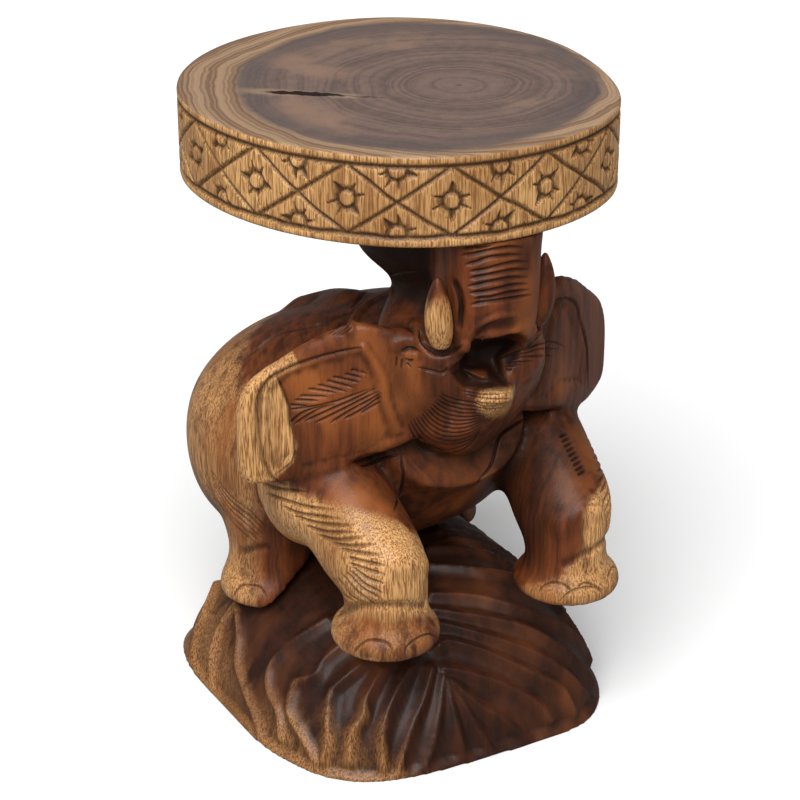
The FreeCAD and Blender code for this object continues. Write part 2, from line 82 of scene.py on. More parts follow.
# How bright the room is as a light, where the lacquer mirrors it, and behind the stool
ROOM_STRENGTHS = (0.38, 0.13, 0.95)
FLOOR_WIDTH = 80
# The floor as it lights the stool, and as it is seen
FLOOR_COLOURS = ((0.24, 0.23, 0.22, 1), (0.93, 0.93, 0.93, 1))


def node(tree, kind, inputs=None, **settings):
    """Add one shader node, with its settings and its inputs set or linked."""
    added = tree.nodes.new(kind)
    for name, value in settings.items():
        setattr(added, name, value)
    for key, value in (inputs or {}).items():
        if isinstance(value, bpy.types.NodeSocket):
            tree.links.new(value, added.inputs[key])
        else:
            added.inputs[key].default_value = value
    return added


def emptied(owner):
    """Return the node tree of a world or a material, with its own nodes taken out."""
    owner.use_nodes = True
    owner.node_tree.nodes.clear()
    return owner.node_tree


sun_light = bpy.data.lights.new("key_light", "SUN")
sun_light.energy = SUN_STRENGTH
sun_light.angle = SUN_SPREAD
sun = bpy.data.objects.new("key_light", sun_light)
sun.rotation_euler = (SUN_TILT, 0, SUN_TURN)
scene.collection.objects.link(sun)

world = bpy.data.worlds.new("studio")
room = emptied(world)
room_path = node(room, "ShaderNodeLightPath")
bright_room, mirrored_room, seen_room = (
    node(room, "ShaderNodeBackground", {"Color": (1, 1, 1, 1), "Strength": strength}).outputs[0]
    for strength in ROOM_STRENGTHS
)
unseen_room = node(room, "ShaderNodeMixShader", {
    0: room_path.outputs["Is Glossy Ray"], 1: bright_room, 2: mirrored_room,
}).outputs[0]
whole_room = node(room, "ShaderNodeMixShader", {
    0: room_path.outputs["Is Camera Ray"], 1: unseen_room, 2: seen_room,
}).outputs[0]
node(room, "ShaderNodeOutputWorld", {"Surface": whole_room})
scene.world = world

floor_mesh = bpy.data.meshes.new("floor")
floor_bm = bmesh.new()
bmesh.ops.create_grid(floor_bm, x_segments=2, y_segments=2, size=FLOOR_WIDTH / 2)
floor_bm.to_mesh(floor_mesh)
floor_bm.free()
floor = bpy.data.objects.new("floor", floor_mesh)
scene.collection.objects.link(floor)
floor_paint = bpy.data.materials.new("floor_paint")
paint = emptied(floor_paint)
floor_path = node(paint, "ShaderNodeLightPath")
lighting_floor, seen_floor = (
    node(paint, "ShaderNodeBsdfDiffuse", {"Color": tone}).outputs[0] for tone in FLOOR_COLOURS
)
whole_floor = node(paint, "ShaderNodeMixShader", {
    0: floor_path.outputs["Is Camera Ray"], 1: lighting_floor, 2: seen_floor,
}).outputs[0]
node(paint, "ShaderNodeOutputMaterial", {"Surface": whole_floor})
floor_mesh.materials.append(floor_paint)

# Wood: one log of rain tree wood makes the whole stool, with its grain upright and its rings
# round a pith right of the middle. The heart is red-brown, the sapwood next to the bark golden,
# and the carver rubs a dark stain into every cut before a satin lacquer.
MM = 0.001
PITH = (39.5 * MM, -20 * MM)
# Patterns in the wood, as (noise per metre, stretch, detail, roughness)
SWAY = (14, (1, 1, 1), 3, 0.5)
FIBRE = (900, (1, 1, 0.06), 3, 0.6)
STREAK = (110, (1, 1, 0.07), 4, 0.55)
CLOUD = (16, (1, 1, 0.5), 3, 0.5)
PORE = (1500, (1, 1, 0.04), 1, 0.5)
CHISEL = (70, (1, 1, 0.6), 1, 0.4)
# Fine and wide rings, as (noise per metre, share)
RING_NOISES = ((330, 0.4), (60, 0.6))
RING_SWING = 22 * MM
# Levels of a pattern between which one tone turns into the other
PORE_STEP = (0.60, 0.68)
HEART_STREAK_STEP = (0.36, 0.64)
HEART_RING_STEP = (0.38, 0.62)
HEART_GLOW_STEP = (0.50, 0.70)
SAP_FIBRE_STEP = (0.36, 0.60)
SAP_STREAK_STEP = (0.50, 0.72)
SAP_CLOUD_STEP = (0.46, 0.68)
END_RING_STEP = (0.40, 0.60)
LEVEL_STEP = (0.2, 0.8)
# The border of the sapwood on end grain and on long grain, as (share of streaks, half width)
END_BORDER = (0.2, 0.35)
LONG_BORDER = (1.1, 0.42)
ELLIPSE_EDGE = 0.95
ELLIPSE_SLOPE = 10.0
# End grain of the top, whose grey-brown tones are partly the wood's own colour and partly a painted sheen of
# the lacquer
END_GRAIN = ((128, 98, 76), (172, 142, 112))
END_GRAIN_LEVELS = (2.5 * MM, 1.0 * MM)
SAP_STREAK_SHARE = 0.55
SAP_CLOUD_SHARE = 0.5
PORE_TINT = (0.42, 0.32, 0.26, 1)
PORE_SHARE = 0.35
# Colours of the stain rubbed into the cuts, on heart and on sapwood, which also paint the shade of hollows
# and closed-in places
DARK_STAIN_AND_SHADE = (0.010, 0.004, 0.002, 1)
WARM_STAIN_AND_SHADE = (0.036, 0.014, 0.005, 1)
STAIN_AND_SHADE_SHARE = 0.9
FIBRE_HEIGHT = 0.7
PORE_HEIGHT = 0.6
SEAT_CHISEL = 0.4
CARVED_CHISEL = 0.25
FIBRE_ROUGHNESS = 0.22
STAIN_ROUGHNESS = 0.2
LACQUER_ROUGHNESS = 0.30


def math_node(tree, operation, first, second=0.0, clamp=False):
    """Return the result of one sum on two values."""
    inputs = {0: first, 1: second}
    return node(tree, "ShaderNodeMath", inputs, operation=operation, use_clamp=clamp).outputs[0]


def length_of(tree, vector):
    """Return the length of a vector."""
    return node(tree, "ShaderNodeVectorMath", {0: vector}, operation="LENGTH").outputs["Value"]


def step_between(tree, value, low, high):
    """Return a smooth step of a value from 0 at low to 1 at high."""
    limits = {"Value": value, "From Min": low, "From Max": high}
    return node(tree, "ShaderNodeMapRange", limits, interpolation_type="SMOOTHSTEP").outputs["Result"]


def mixed(tree, share, first, second, blend="MIX"):
    """Return a mix of two colours."""
    mixer = node(tree, "ShaderNodeMix", data_type="RGBA", blend_type=blend)
    for socket, value in ((mixer.inputs[0], share), (mixer.inputs[6], first), (mixer.inputs[7], second)):
        if isinstance(value, bpy.types.NodeSocket):
            tree.links.new(value, socket)
        else:
            socket.default_value = value
    return mixer.outputs[2]


def colour(red, green, blue):
    """Return a colour for a shader from its screen values of 0 to 255."""
    return (*(((value / 255 + 0.055) / 1.055) ** 2.4 for value in (red, green, blue)), 1)


def noise_of(tree, vector, scale, stretch, detail, roughness):
    """Return smooth noise on stretched coordinates."""
    placed = node(tree, "ShaderNodeMapping", {"Vector": vector, "Scale": stretch})
    inputs = {"Vector": placed.outputs[0], "Scale": scale, "Detail": detail, "Roughness": roughness}
    return node(tree, "ShaderNodeTexNoise", inputs).outputs["Fac"]


def out_of_ellipse(tree, vector, middle, halves):
    """Return how far a place lies from the middle of an ellipse, which is 1 at its edge."""
    squeezed = node(tree, "ShaderNodeMapping", {
        "Vector": vector, "Location": (-middle[0] / halves[0], -middle[1] / halves[1], 0),
        "Scale": (1 / halves[0], 1 / halves[1], 0),
    })
    return length_of(tree, squeezed.outputs[0])


def wood(name, tones, ring_share, sap_ellipse=None, marks=None):
    """Make lacquered wood. The sapwood follows a named attribute, or lies outside an ellipse."""
    heart, heart_dark, heart_glow, sap, sap_dark = (colour(*tone) for tone in tones)
    material = bpy.data.materials.new(name)
    tree = emptied(material)
    place = node(tree, "ShaderNodeTexCoord").outputs["Object"]
    sway, fibre, streak, cloud, pore, chisel = (
        noise_of(tree, place, *pattern) for pattern in (SWAY, FIBRE, STREAK, CLOUD, PORE, CHISEL)
    )
    pores = step_between(tree, pore, *PORE_STEP)

    from_pith = node(tree, "ShaderNodeMapping", {
        "Vector": place, "Location": (-PITH[0], -PITH[1], 0), "Scale": (1, 1, 0),
    })
    swing = math_node(tree, "MULTIPLY", math_node(tree, "SUBTRACT", sway, 0.5), RING_SWING)
    swayed = math_node(tree, "ADD", length_of(tree, from_pith.outputs[0]), swing)
    fine_rings, wide_rings = (
        math_node(tree, "MULTIPLY", node(
            tree, "ShaderNodeTexNoise", {"W": swayed, "Scale": scale, "Detail": 1.0}, noise_dimensions="1D",
        ).outputs["Fac"], share)
        for scale, share in RING_NOISES
    )
    rings = math_node(tree, "ADD", fine_rings, wide_rings)

    if sap_ellipse:
        middle, halves, turn, top_level = sap_ellipse
        turned = node(tree, "ShaderNodeMapping", {"Vector": place, "Rotation": (0, 0, turn)}).outputs[0]
        reach = out_of_ellipse(tree, turned, middle, halves)
        past_edge = math_node(tree, "SUBTRACT", reach, ELLIPSE_EDGE)
        sap_value = math_node(tree, "MULTIPLY", past_edge, ELLIPSE_SLOPE)
    else:
        sap_value = node(tree, "ShaderNodeAttribute", attribute_name="sapwood").outputs["Fac"]
    # This value holds the stain in the cuts together with painted shade
    stain_and_shade = node(tree, "ShaderNodeAttribute", attribute_name="stain_and_shade").outputs["Fac"]

    streak_part, half_border = END_BORDER if sap_ellipse else LONG_BORDER
    uneven = math_node(tree, "ADD", math_node(tree, "MULTIPLY", streak, streak_part), sway)
    evenness = math_node(tree, "SUBTRACT", uneven, 0.5 + 0.5 * streak_part)
    sap_edge = math_node(tree, "ADD", sap_value, evenness)
    sap_share = step_between(tree, sap_edge, 0.5 - half_border, 0.5 + half_border)

    streaked = mixed(tree, step_between(tree, streak, *HEART_STREAK_STEP), heart_dark, heart)
    ringed = mixed(tree, step_between(tree, rings, *HEART_RING_STEP), heart_dark, heart)
    heart_tone = mixed(tree, ring_share, streaked, ringed)
    heart_tone = mixed(tree, step_between(tree, cloud, *HEART_GLOW_STEP), heart_tone, heart_glow)
    if marks:
        heart_tone = marks(tree, place, swayed, sap_value, heart_tone)
    sap_tone = mixed(tree, step_between(tree, fibre, *SAP_FIBRE_STEP), sap_dark, sap)
    for pattern, limits, share in (
        (streak, SAP_STREAK_STEP, SAP_STREAK_SHARE), (cloud, SAP_CLOUD_STEP, SAP_CLOUD_SHARE),
    ):
        darker = math_node(tree, "MULTIPLY", step_between(tree, pattern, *limits), share)
        sap_tone = mixed(tree, darker, sap_tone, sap_dark)
    if sap_ellipse:
        normal = node(tree, "ShaderNodeTexCoord").outputs["Normal"]
        facing_up = node(tree, "ShaderNodeSeparateXYZ", {0: normal}).outputs["Z"]
        level = node(tree, "ShaderNodeSeparateXYZ", {0: place}).outputs["Z"]
        at_top = step_between(tree, level, *(top_level - below for below in END_GRAIN_LEVELS))
        upward = math_node(tree, "MULTIPLY", step_between(tree, facing_up, *LEVEL_STEP), at_top)
        end_dark, end_pale = (colour(*tone) for tone in END_GRAIN)
        end_tone = mixed(tree, step_between(tree, rings, *END_RING_STEP), end_dark, end_pale)
        sap_tone = mixed(tree, upward, sap_tone, end_tone)
    tone = mixed(tree, sap_share, heart_tone, sap_tone)
    pore_tone = mixed(tree, 1.0, tone, PORE_TINT, "MULTIPLY")
    tone = mixed(tree, math_node(tree, "MULTIPLY", pores, PORE_SHARE), tone, pore_tone)
    # Stain and painted shade darken the tone
    stain_and_shade_tone = mixed(tree, sap_share, DARK_STAIN_AND_SHADE, WARM_STAIN_AND_SHADE)
    tone = mixed(tree, math_node(tree, "MULTIPLY", stain_and_shade, STAIN_AND_SHADE_SHARE, True), tone, stain_and_shade_tone)

    raised = math_node(tree, "MULTIPLY", fibre, FIBRE_HEIGHT)
    height = math_node(tree, "SUBTRACT", raised, math_node(tree, "MULTIPLY", pores, PORE_HEIGHT))
    grain = node(tree, "ShaderNodeBump", {"Height": height, "Strength": 0.35, "Distance": 0.6 * MM})
    chiselled = CARVED_CHISEL
    if sap_ellipse:
        chiselled = math_node(tree, "MULTIPLY", math_node(tree, "SUBTRACT", 1.0, upward), SEAT_CHISEL)
    bump = node(tree, "ShaderNodeBump", {
        "Height": chisel, "Strength": chiselled, "Distance": 4 * MM, "Normal": grain.outputs[0],
    })
    fibre_rough = math_node(tree, "MULTIPLY", fibre, FIBRE_ROUGHNESS)
    rough = math_node(tree, "ADD", fibre_rough, math_node(tree, "MULTIPLY", stain_and_shade, STAIN_ROUGHNESS))
    lacquer = node(tree, "ShaderNodeBsdfPrincipled", {
        "Base Color": tone,
        "Roughness": math_node(tree, "ADD", rough, LACQUER_ROUGHNESS),
        "Normal": bump.outputs[0],
        "Specular IOR Level": 0.24,
        "Coat Weight": 0.07,
        "Coat Roughness": 0.16,
    })
    node(tree, "ShaderNodeOutputMaterial", {"Surface": lacquer.outputs[0]})
    return material


# Seat slab: a slice of the log with its bark gone, polished on top. Its side is cut by hand
# with a border line along each rim, a lattice of diamonds, a flower in each diamond and half
# a flower in each gap.
SEAT_LOW, SEAT_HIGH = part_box("seat_slab")
SEAT_RADIUS = 165 * MM
OUTER_SHARE = 0.8325
LEVEL_MARGIN = 0.2 * MM
RIM_ROUND = 2.5 * MM
RIM_ANGLES = (90, 60, 30, 0)
BAND_STEPS = 1260
BAND_ROWS = 56
OUTLINE_STEPS = 2880
TOP_SHARES = (0.975, 0.93, 0.80, 0.55, 0.25)
DIAMONDS = 14
LATTICE_START = 32.3 * MM
BORDER_INSET = 8 * MM
BORDER_HALF_SHARE = 1.25
BORDER_DEPTH_SHARE = 1.1
BORDER_CLEAR = 0.6 * MM
LINE_HALF = 2.2 * MM
LINE_DEPTH = 2.6 * MM
BOSS_RADIUS = 5.8 * MM
BOSS_RING_OUT = 1.2 * MM
BOSS_RING_HALF = 2.3 * MM
FLOWER_RADIUS = 15.5 * MM
HALF_FLOWER_DROP = 2.5 * MM
PETALS = 6
PETAL_HALF = 3.3 * MM
SCOOP_RADIUS = 8.2 * MM
SCOOP_HALF = 2.6 * MM
SCOOP_SHARE = 0.7
# How the hand wanders along the band, as (length of a wave over two pi, share, shift)
WANDER = 0.9 * MM
WANDER_WAVES = ((11 * MM, 0.6, 0.0), (4.3 * MM, 0.3, 1.7))
# Each flower is turned a little further than the one before it
FLOWER_TURN = 0.7
LOWER_FLOWER_TURN = 1.3
SMALLEST = 0.01 * MM

seat_points = np.array([v.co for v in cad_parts["seat_slab"].data.vertices])
rim_points = seat_points[np.hypot(seat_points[:, 0], seat_points[:, 1]) > OUTER_SHARE * SEAT_RADIUS]
rim_points = rim_points[abs(rim_points[:, 2] - (SEAT_LOW.z + RIM_ROUND)) < LEVEL_MARGIN]
rim_turns = np.arctan2(rim_points[:, 1], rim_points[:, 0])
rim_order = np.argsort(rim_turns)
rim_turns = rim_turns[rim_order]
rim_radii = np.hypot(rim_points[:, 0], rim_points[:, 1])[rim_order]


def seat_radius(turns):
    """Return the radius of the seat's outline at these turns."""
    return np.interp(turns, rim_turns, rim_radii, period=2 * math.pi)


def groove(distance, half_width):
    """Return the share of the full depth of a V cut at a distance from its line."""
    return np.clip(1 - abs(distance) / half_width, 0, 1)


def flower(across, up, turned):
    """Return how deep a flower is cut: a scooped ring round its boss, and pointed cuts beyond."""
    out = np.hypot(across, up)
    ring_cut = groove(out - BOSS_RADIUS - BOSS_RING_OUT, BOSS_RING_HALF)
    step = 2 * math.pi / PETALS
    bearing = np.arctan2(up, across) + turned
    from_petal = (bearing + 0.25 * np.sin(2 * bearing)) % step - step / 2
    width = PETAL_HALF * np.clip((FLOWER_RADIUS - out) / (FLOWER_RADIUS - BOSS_RADIUS), 0, 1)
    petal_cut = np.clip(1.15 - abs(from_petal) * out / np.maximum(width, SMALLEST), 0, 1)
    petal_cut *= out > BOSS_RADIUS
    scoop_share = SCOOP_SHARE * (0.5 + 0.5 * np.sin(bearing * 2 + 1.1))
    scoop = groove(out - SCOOP_RADIUS, SCOOP_HALF) * scoop_share
    return np.maximum(np.maximum(ring_cut, petal_cut), scoop)


seat_bm = bmesh.new()
half_seat = (SEAT_HIGH.z - SEAT_LOW.z) / 2
seat_middle = (SEAT_HIGH.z + SEAT_LOW.z) / 2
upper_half = [(SEAT_RADIUS * share, half_seat) for share in (0.0, *reversed(TOP_SHARES))]
for turn in (math.radians(angle) for angle in RIM_ANGLES):
    inward, downward = RIM_ROUND * (1 - math.cos(turn)), RIM_ROUND * (1 - math.sin(turn))
    upper_half.append((SEAT_RADIUS - inward, half_seat - downward))
wall_levels = np.linspace(half_seat - RIM_ROUND, RIM_ROUND - half_seat, BAND_ROWS + 1)[1:-1]
wall = [(SEAT_RADIUS, level) for level in wall_levels]
lower_half = [(radius, -level) for radius, level in reversed(upper_half)]
profile = [seat_bm.verts.new((radius, 0, level)) for radius, level in upper_half + wall + lower_half]
for first, second in zip(profile, profile[1:]):
    seat_bm.edges.new((first, second))
bmesh.ops.spin(
    seat_bm, geom=seat_bm.verts[:] + seat_bm.edges[:], cent=(0, 0, 0), axis=(0, 0, 1), dvec=(0, 0, 0),
    angle=2 * math.pi, steps=BAND_STEPS, use_merge=True, use_duplicate=False,
)
bmesh.ops.remove_doubles(seat_bm, verts=seat_bm.verts[:], dist=SMALLEST)
bmesh.ops.recalc_face_normals(seat_bm, faces=seat_bm.faces[:])
seat_mesh = bpy.data.meshes.new("seat")
seat_bm.to_mesh(seat_mesh)
seat_bm.free()

spun = np.zeros(len(seat_mesh.vertices) * 3)
seat_mesh.vertices.foreach_get("co", spun)
spun = spun.reshape(-1, 3)
turns = np.arctan2(spun[:, 1], spun[:, 0])
shares = np.hypot(spun[:, 0], spun[:, 1]) / SEAT_RADIUS
outline_turns = np.linspace(-math.pi, math.pi, OUTLINE_STEPS + 1)
outline_radii = seat_radius(outline_turns)
outline_line = np.stack(
    [outline_radii * np.cos(outline_turns), outline_radii * np.sin(outline_turns)], axis=1,
)
outline_runs = np.linalg.norm(np.diff(outline_line, axis=0), axis=1)
outline_lengths = np.concatenate([[0], np.cumsum(outline_runs)])
seat_round = outline_lengths[-1]
start_length = np.interp(0, outline_turns, outline_lengths)
along = (np.interp(turns, outline_turns, outline_lengths) - start_length) % seat_round
wobble = WANDER * sum(np.sin(along / wave + shift) * share for wave, share, shift in WANDER_WAVES)
level = spun[:, 2] + wobble * 0.6
border = half_seat - BORDER_INSET
pitch = seat_round / DIAMONDS
from_start = along + wobble - LATTICE_START
from_crossing = (from_start % pitch + pitch / 2) % pitch - pitch / 2
from_centre = from_start % pitch - pitch / 2
rise = 2 * border / pitch
slope = math.cos(math.atan(rise))
lattice = np.minimum(abs(level - rise * from_crossing), abs(level + rise * from_crossing)) * slope
border_wave = border + 0.5 * wobble
border_cut = groove(abs(level) - border_wave, BORDER_HALF_SHARE * LINE_HALF) * BORDER_DEPTH_SHARE
inside = np.clip((border_wave - abs(level)) / BORDER_CLEAR, 0, 1)
flower_turn = np.floor(from_start / pitch) * FLOWER_TURN
half_turn = flower_turn + (level > 0) * LOWER_FLOWER_TURN
flowers = np.maximum(
    flower(from_centre, level, flower_turn),
    flower(from_crossing, border - abs(level) - HALF_FLOWER_DROP, half_turn),
)
cut = np.maximum(border_cut, np.maximum(groove(lattice, LINE_HALF), flowers) * inside)
cut *= (shares > 0.999) & (abs(spun[:, 2]) < half_seat - RIM_ROUND / 2)
radii = shares * seat_radius(turns) - cut * LINE_DEPTH
spun[:, 0] = radii * np.cos(turns)
spun[:, 1] = radii * np.sin(turns)
spun[:, 2] += seat_middle
seat_mesh.vertices.foreach_set("co", spun.ravel())
seat_mesh.attributes.new("stain_and_shade", "FLOAT", "POINT").data.foreach_set("value", np.clip(cut, 0, 1) ** 0.8)
seat_mesh.shade_smooth()
seat_mesh.update()

# Heart, dark heart, glow of the heart, sapwood and dark sapwood. The grey of the heart tones, which show on
# the top, is partly the wood's own colour and partly a painted sheen of the lacquer.
SEAT_TONES = ((128, 106, 96), (102, 85, 78), (143, 115, 98), (238, 186, 122), (144, 96, 54))
SEAT_RINGS = 0.7
HEART_MIDDLE = (14 * MM, 11 * MM)
HEART_HALVES = (137 * MM, 156 * MM)
HEART_TURN = math.radians(30)
HEART_RIM_STEP = (-1.7, -0.1)
HEART_RIM_TONE = (92, 82, 80)
HEART_RIM_SHARE = 0.6
DARK_RING_RADII = (58 * MM, 78 * MM, 96 * MM)
DARK_RING_STEP = (2.4 * MM, 0.3 * MM)
DARK_RING_TONE = (84, 76, 74)
DARK_RING_SHARE = 0.3
CRACK_MIDDLE = (-67 * MM, 16.8 * MM)
CRACK_TURN = math.radians(39.6)
CRACK_SHAKE = 0.008
CRACK_DROP = 4 * MM
# Pale knots, the crack and its thin end, as (half sizes, place along the crack, share, least reach, tone)
CRACK_MARKS = (
    ((38 * MM, 9 * MM), -24 * MM, 0.6, 0.3, (168, 140, 112)),
    ((17 * MM, 8 * MM), 29 * MM, 0.8, 0.3, (158, 134, 112)),
    ((31 * MM, 4.4 * MM), 0.0, 1.0, 0.8, (38, 22, 16)),
    ((20 * MM, 1.6 * MM), 47 * MM, 0.8, 0.3, (60, 38, 28)),
)
CRACK_REACH = 1.15


def seat_marks(tree, place, radius, sap_value, tone):
    """Draw the dark rings, the dark rim of the heart, and the crack with its pale knot."""
    for ring_radius in DARK_RING_RADII:
        off = math_node(tree, "ABSOLUTE", math_node(tree, "SUBTRACT", radius, ring_radius))
        line = math_node(tree, "MULTIPLY", step_between(tree, off, *DARK_RING_STEP), DARK_RING_SHARE)
        tone = mixed(tree, line, tone, colour(*DARK_RING_TONE))
    rim = math_node(tree, "MULTIPLY", step_between(tree, sap_value, *HEART_RIM_STEP), HEART_RIM_SHARE)
    tone = mixed(tree, rim, tone, colour(*HEART_RIM_TONE))
    moved = node(tree, "ShaderNodeVectorMath", {0: place, 1: (*CRACK_MIDDLE, 0)}, operation="SUBTRACT")
    turned = node(tree, "ShaderNodeMapping", {"Vector": moved.outputs[0], "Rotation": (0, 0, CRACK_TURN)})
    rough_edge = node(tree, "ShaderNodeTexNoise", {"Vector": place, "Scale": 150, "Detail": 3.0})
    shaken = node(tree, "ShaderNodeMix", {
        "Factor": CRACK_SHAKE, 4: turned.outputs[0], 5: rough_edge.outputs["Color"],
    }, data_type="VECTOR")
    for halves, shift, share, least, mark_tone in CRACK_MARKS:
        reach = out_of_ellipse(tree, shaken.outputs[1], (shift, CRACK_DROP), halves)
        mark = math_node(tree, "MULTIPLY", step_between(tree, reach, CRACK_REACH, least), share)
        tone = mixed(tree, mark, tone, colour(*mark_tone))
    return tone


sap_ellipse = (HEART_MIDDLE, HEART_HALVES, HEART_TURN, SEAT_HIGH.z)
seat_mesh.materials.append(wood("seat_wood", SEAT_TONES, SEAT_RINGS, sap_ellipse, seat_marks))
seat = bpy.data.objects.new("carved_seat", seat_mesh)
scene.collection.objects.link(seat)
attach(seat, "root")
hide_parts("seat_slab")


# Base mound: the foot of the log, carved into a dome of long scooped flutes that spread from
# the front of the dome. The scoops bite through the golden sapwood into the dark heart.
PATH_SPACING = 1.5
# Steps of a path outside these lengths are laid on another form, and are left out
PATH_RUNS = (0.01 * MM, 7 * MM)
MERGE_DISTANCE = 0.002 * MM
LEAST_SPAN = 0.1 * MM
HOLLOW_GAIN = 6


def merged_copy(*names):
    """Return one mesh with copies of these CAD pieces, their loose triangles merged."""
    bm = bmesh.new()
    for name in names:
        bm.from_mesh(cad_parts[name].data)
    bmesh.ops.remove_doubles(bm, verts=bm.verts[:], dist=MERGE_DISTANCE)
    mesh = bpy.data.meshes.new(names[0] + "_blank")
    bm.to_mesh(mesh)
    bm.free()
    return mesh


def shaped_by(mesh, kind, **settings):
    """Return the mesh with one modifier applied."""
    holder = bpy.data.objects.new("holder", mesh)
    scene.collection.objects.link(holder)
    modifier = holder.modifiers.new(kind.lower(), kind)
    for name, value in settings.items():
        setattr(modifier, name, value)
    made = bpy.data.meshes.new_from_object(holder.evaluated_get(bpy.context.evaluated_depsgraph_get()))
    bpy.data.objects.remove(holder)
    return made


def points_of(mesh):
    """Return the vertex places of a mesh as an array."""
    places = np.zeros(len(mesh.vertices) * 3)
    mesh.vertices.foreach_get("co", places)
    return places.reshape(-1, 3)


def set_points(mesh, places):
    """Put the vertices of a mesh at these places."""
    mesh.vertices.foreach_set("co", places.ravel())
    mesh.update()


def normals_of(mesh):
    """Return the vertex normals of a mesh as an array."""
    normals = np.zeros(len(mesh.vertices) * 3)
    mesh.vertex_normals.foreach_get("vector", normals)
    return normals.reshape(-1, 3)


def set_values(mesh, name, values):
    """Store one value per vertex for the wood to read."""
    mesh.attributes.new(name, "FLOAT", "POINT").data.foreach_set("value", values)


def tree_of(mesh):
    """Return a search tree of a mesh's faces."""
    bm = bmesh.new()
    bm.from_mesh(mesh)
    tree = BVHTree.FromBMesh(bm)
    bm.free()
    return tree


def links_of(mesh):
    """Return the first and the last point of each edge, and how many edges meet at each point."""
    edges = np.zeros(len(mesh.edges) * 2, dtype=np.int64)
    mesh.edges.foreach_get("vertices", edges)
    first, second = edges[0::2], edges[1::2]
    return first, second, np.bincount(edges, minlength=len(mesh.vertices))


def mean_near(values, first, second, count):
    """Return the mean of the values at each point's neighbours."""
    if values.ndim > 1:
        return np.stack([mean_near(column, first, second, count) for column in values.T], axis=1)
    total = np.bincount(first, values[second], len(values)) + np.bincount(second, values[first], len(values))
    return total / count


def relaxed(mesh, rounds, fill, wear):
    """Fill the hollows between joined forms and wear their edges, by shares, as sanding does."""
    places, links = points_of(mesh), links_of(mesh)
    for _ in range(rounds):
        move = mean_near(places, *links) - places
        outward = np.sum(move * normals_of(mesh), axis=1)
        places += move * np.where(outward > 0, fill, wear)[:, None]
        set_points(mesh, places)


def evened(mesh, values, rounds):
    """Return values of a mesh's points, each drawn towards its neighbours' mean."""
    links = links_of(mesh)
    for _ in range(rounds):
        values = 0.5 * values + 0.5 * mean_near(values, *links)
    return values


def hollows_of(mesh, strength, rounds):
    """Return how hollow the surface is at each point, as a share of darkening there: stain kept in the
    hollows and painted shade.
    """
    places, links = points_of(mesh), links_of(mesh)
    first, second, _ = links
    depth = np.sum((mean_near(places, *links) - places) * normals_of(mesh), axis=1)
    span = np.bincount(first, np.linalg.norm(places[first] - places[second], axis=1), len(places))
    span /= np.maximum(np.bincount(first, minlength=len(places)), 1)
    hollow = evened(mesh, depth / np.maximum(span, LEAST_SPAN), rounds)
    return np.clip(hollow * HOLLOW_GAIN * strength, 0, 1)


def photo_path(tree, pixels):
    """Return points on the surface under a smooth line through photograph points."""
    found = []
    ends = [pixels[0], *pixels, pixels[-1]]
    for before, start, end, after in zip(ends, ends[1:], ends[2:], ends[3:]):
        steps = max(1, int(math.dist(start, end) / PATH_SPACING))
        for number in range(steps + 1):
            share = number / steps
            across, down = (
                0.5 * (2 * q + (r - p) * share + (2 * p - 5 * q + 4 * r - s) * share ** 2
                       + (3 * q - p - 3 * r + s) * share ** 3)
                for p, q, r, s in zip(before, start, end, after)
            )
            hit = tree.ray_cast(CAMERA_PLACE, photo_ray(across, down))
            if hit[0] is not None:
                found.append(hit[0][:])
    return np.array(found).reshape(-1, 3)


def reach_of(places, path, margin):
    """Return the points near a path, how far each is from it, and how far along it, from 0 to 1."""
    near = np.all((places > path.min(0) - margin) & (places < path.max(0) + margin), axis=1).nonzero()[0]
    runs = np.diff(path, axis=0)
    lengths = np.linalg.norm(runs, axis=1)
    keep = (lengths > PATH_RUNS[0]) & (lengths < PATH_RUNS[1])
    if not len(near) or not keep.any():
        return near[:0], np.zeros(0), np.zeros(0)
    starts, runs, lengths = path[:-1][keep], runs[keep], lengths[keep]
    offset = places[near][:, None, :] - starts[None]
    share = np.clip(np.sum(offset * runs[None], axis=2) / lengths[None] ** 2, 0, 1)
    distance = np.linalg.norm(offset - share[:, :, None] * runs[None], axis=2)
    best = distance.argmin(axis=1)
    rows = np.arange(len(near))
    before = np.concatenate([[0], np.cumsum(lengths)[:-1]])
    along = (before[best] + share[rows, best] * lengths[best]) / lengths.sum()
    distance = distance[rows, best]
    close = distance < margin
    return near[close], distance[close], along[close]


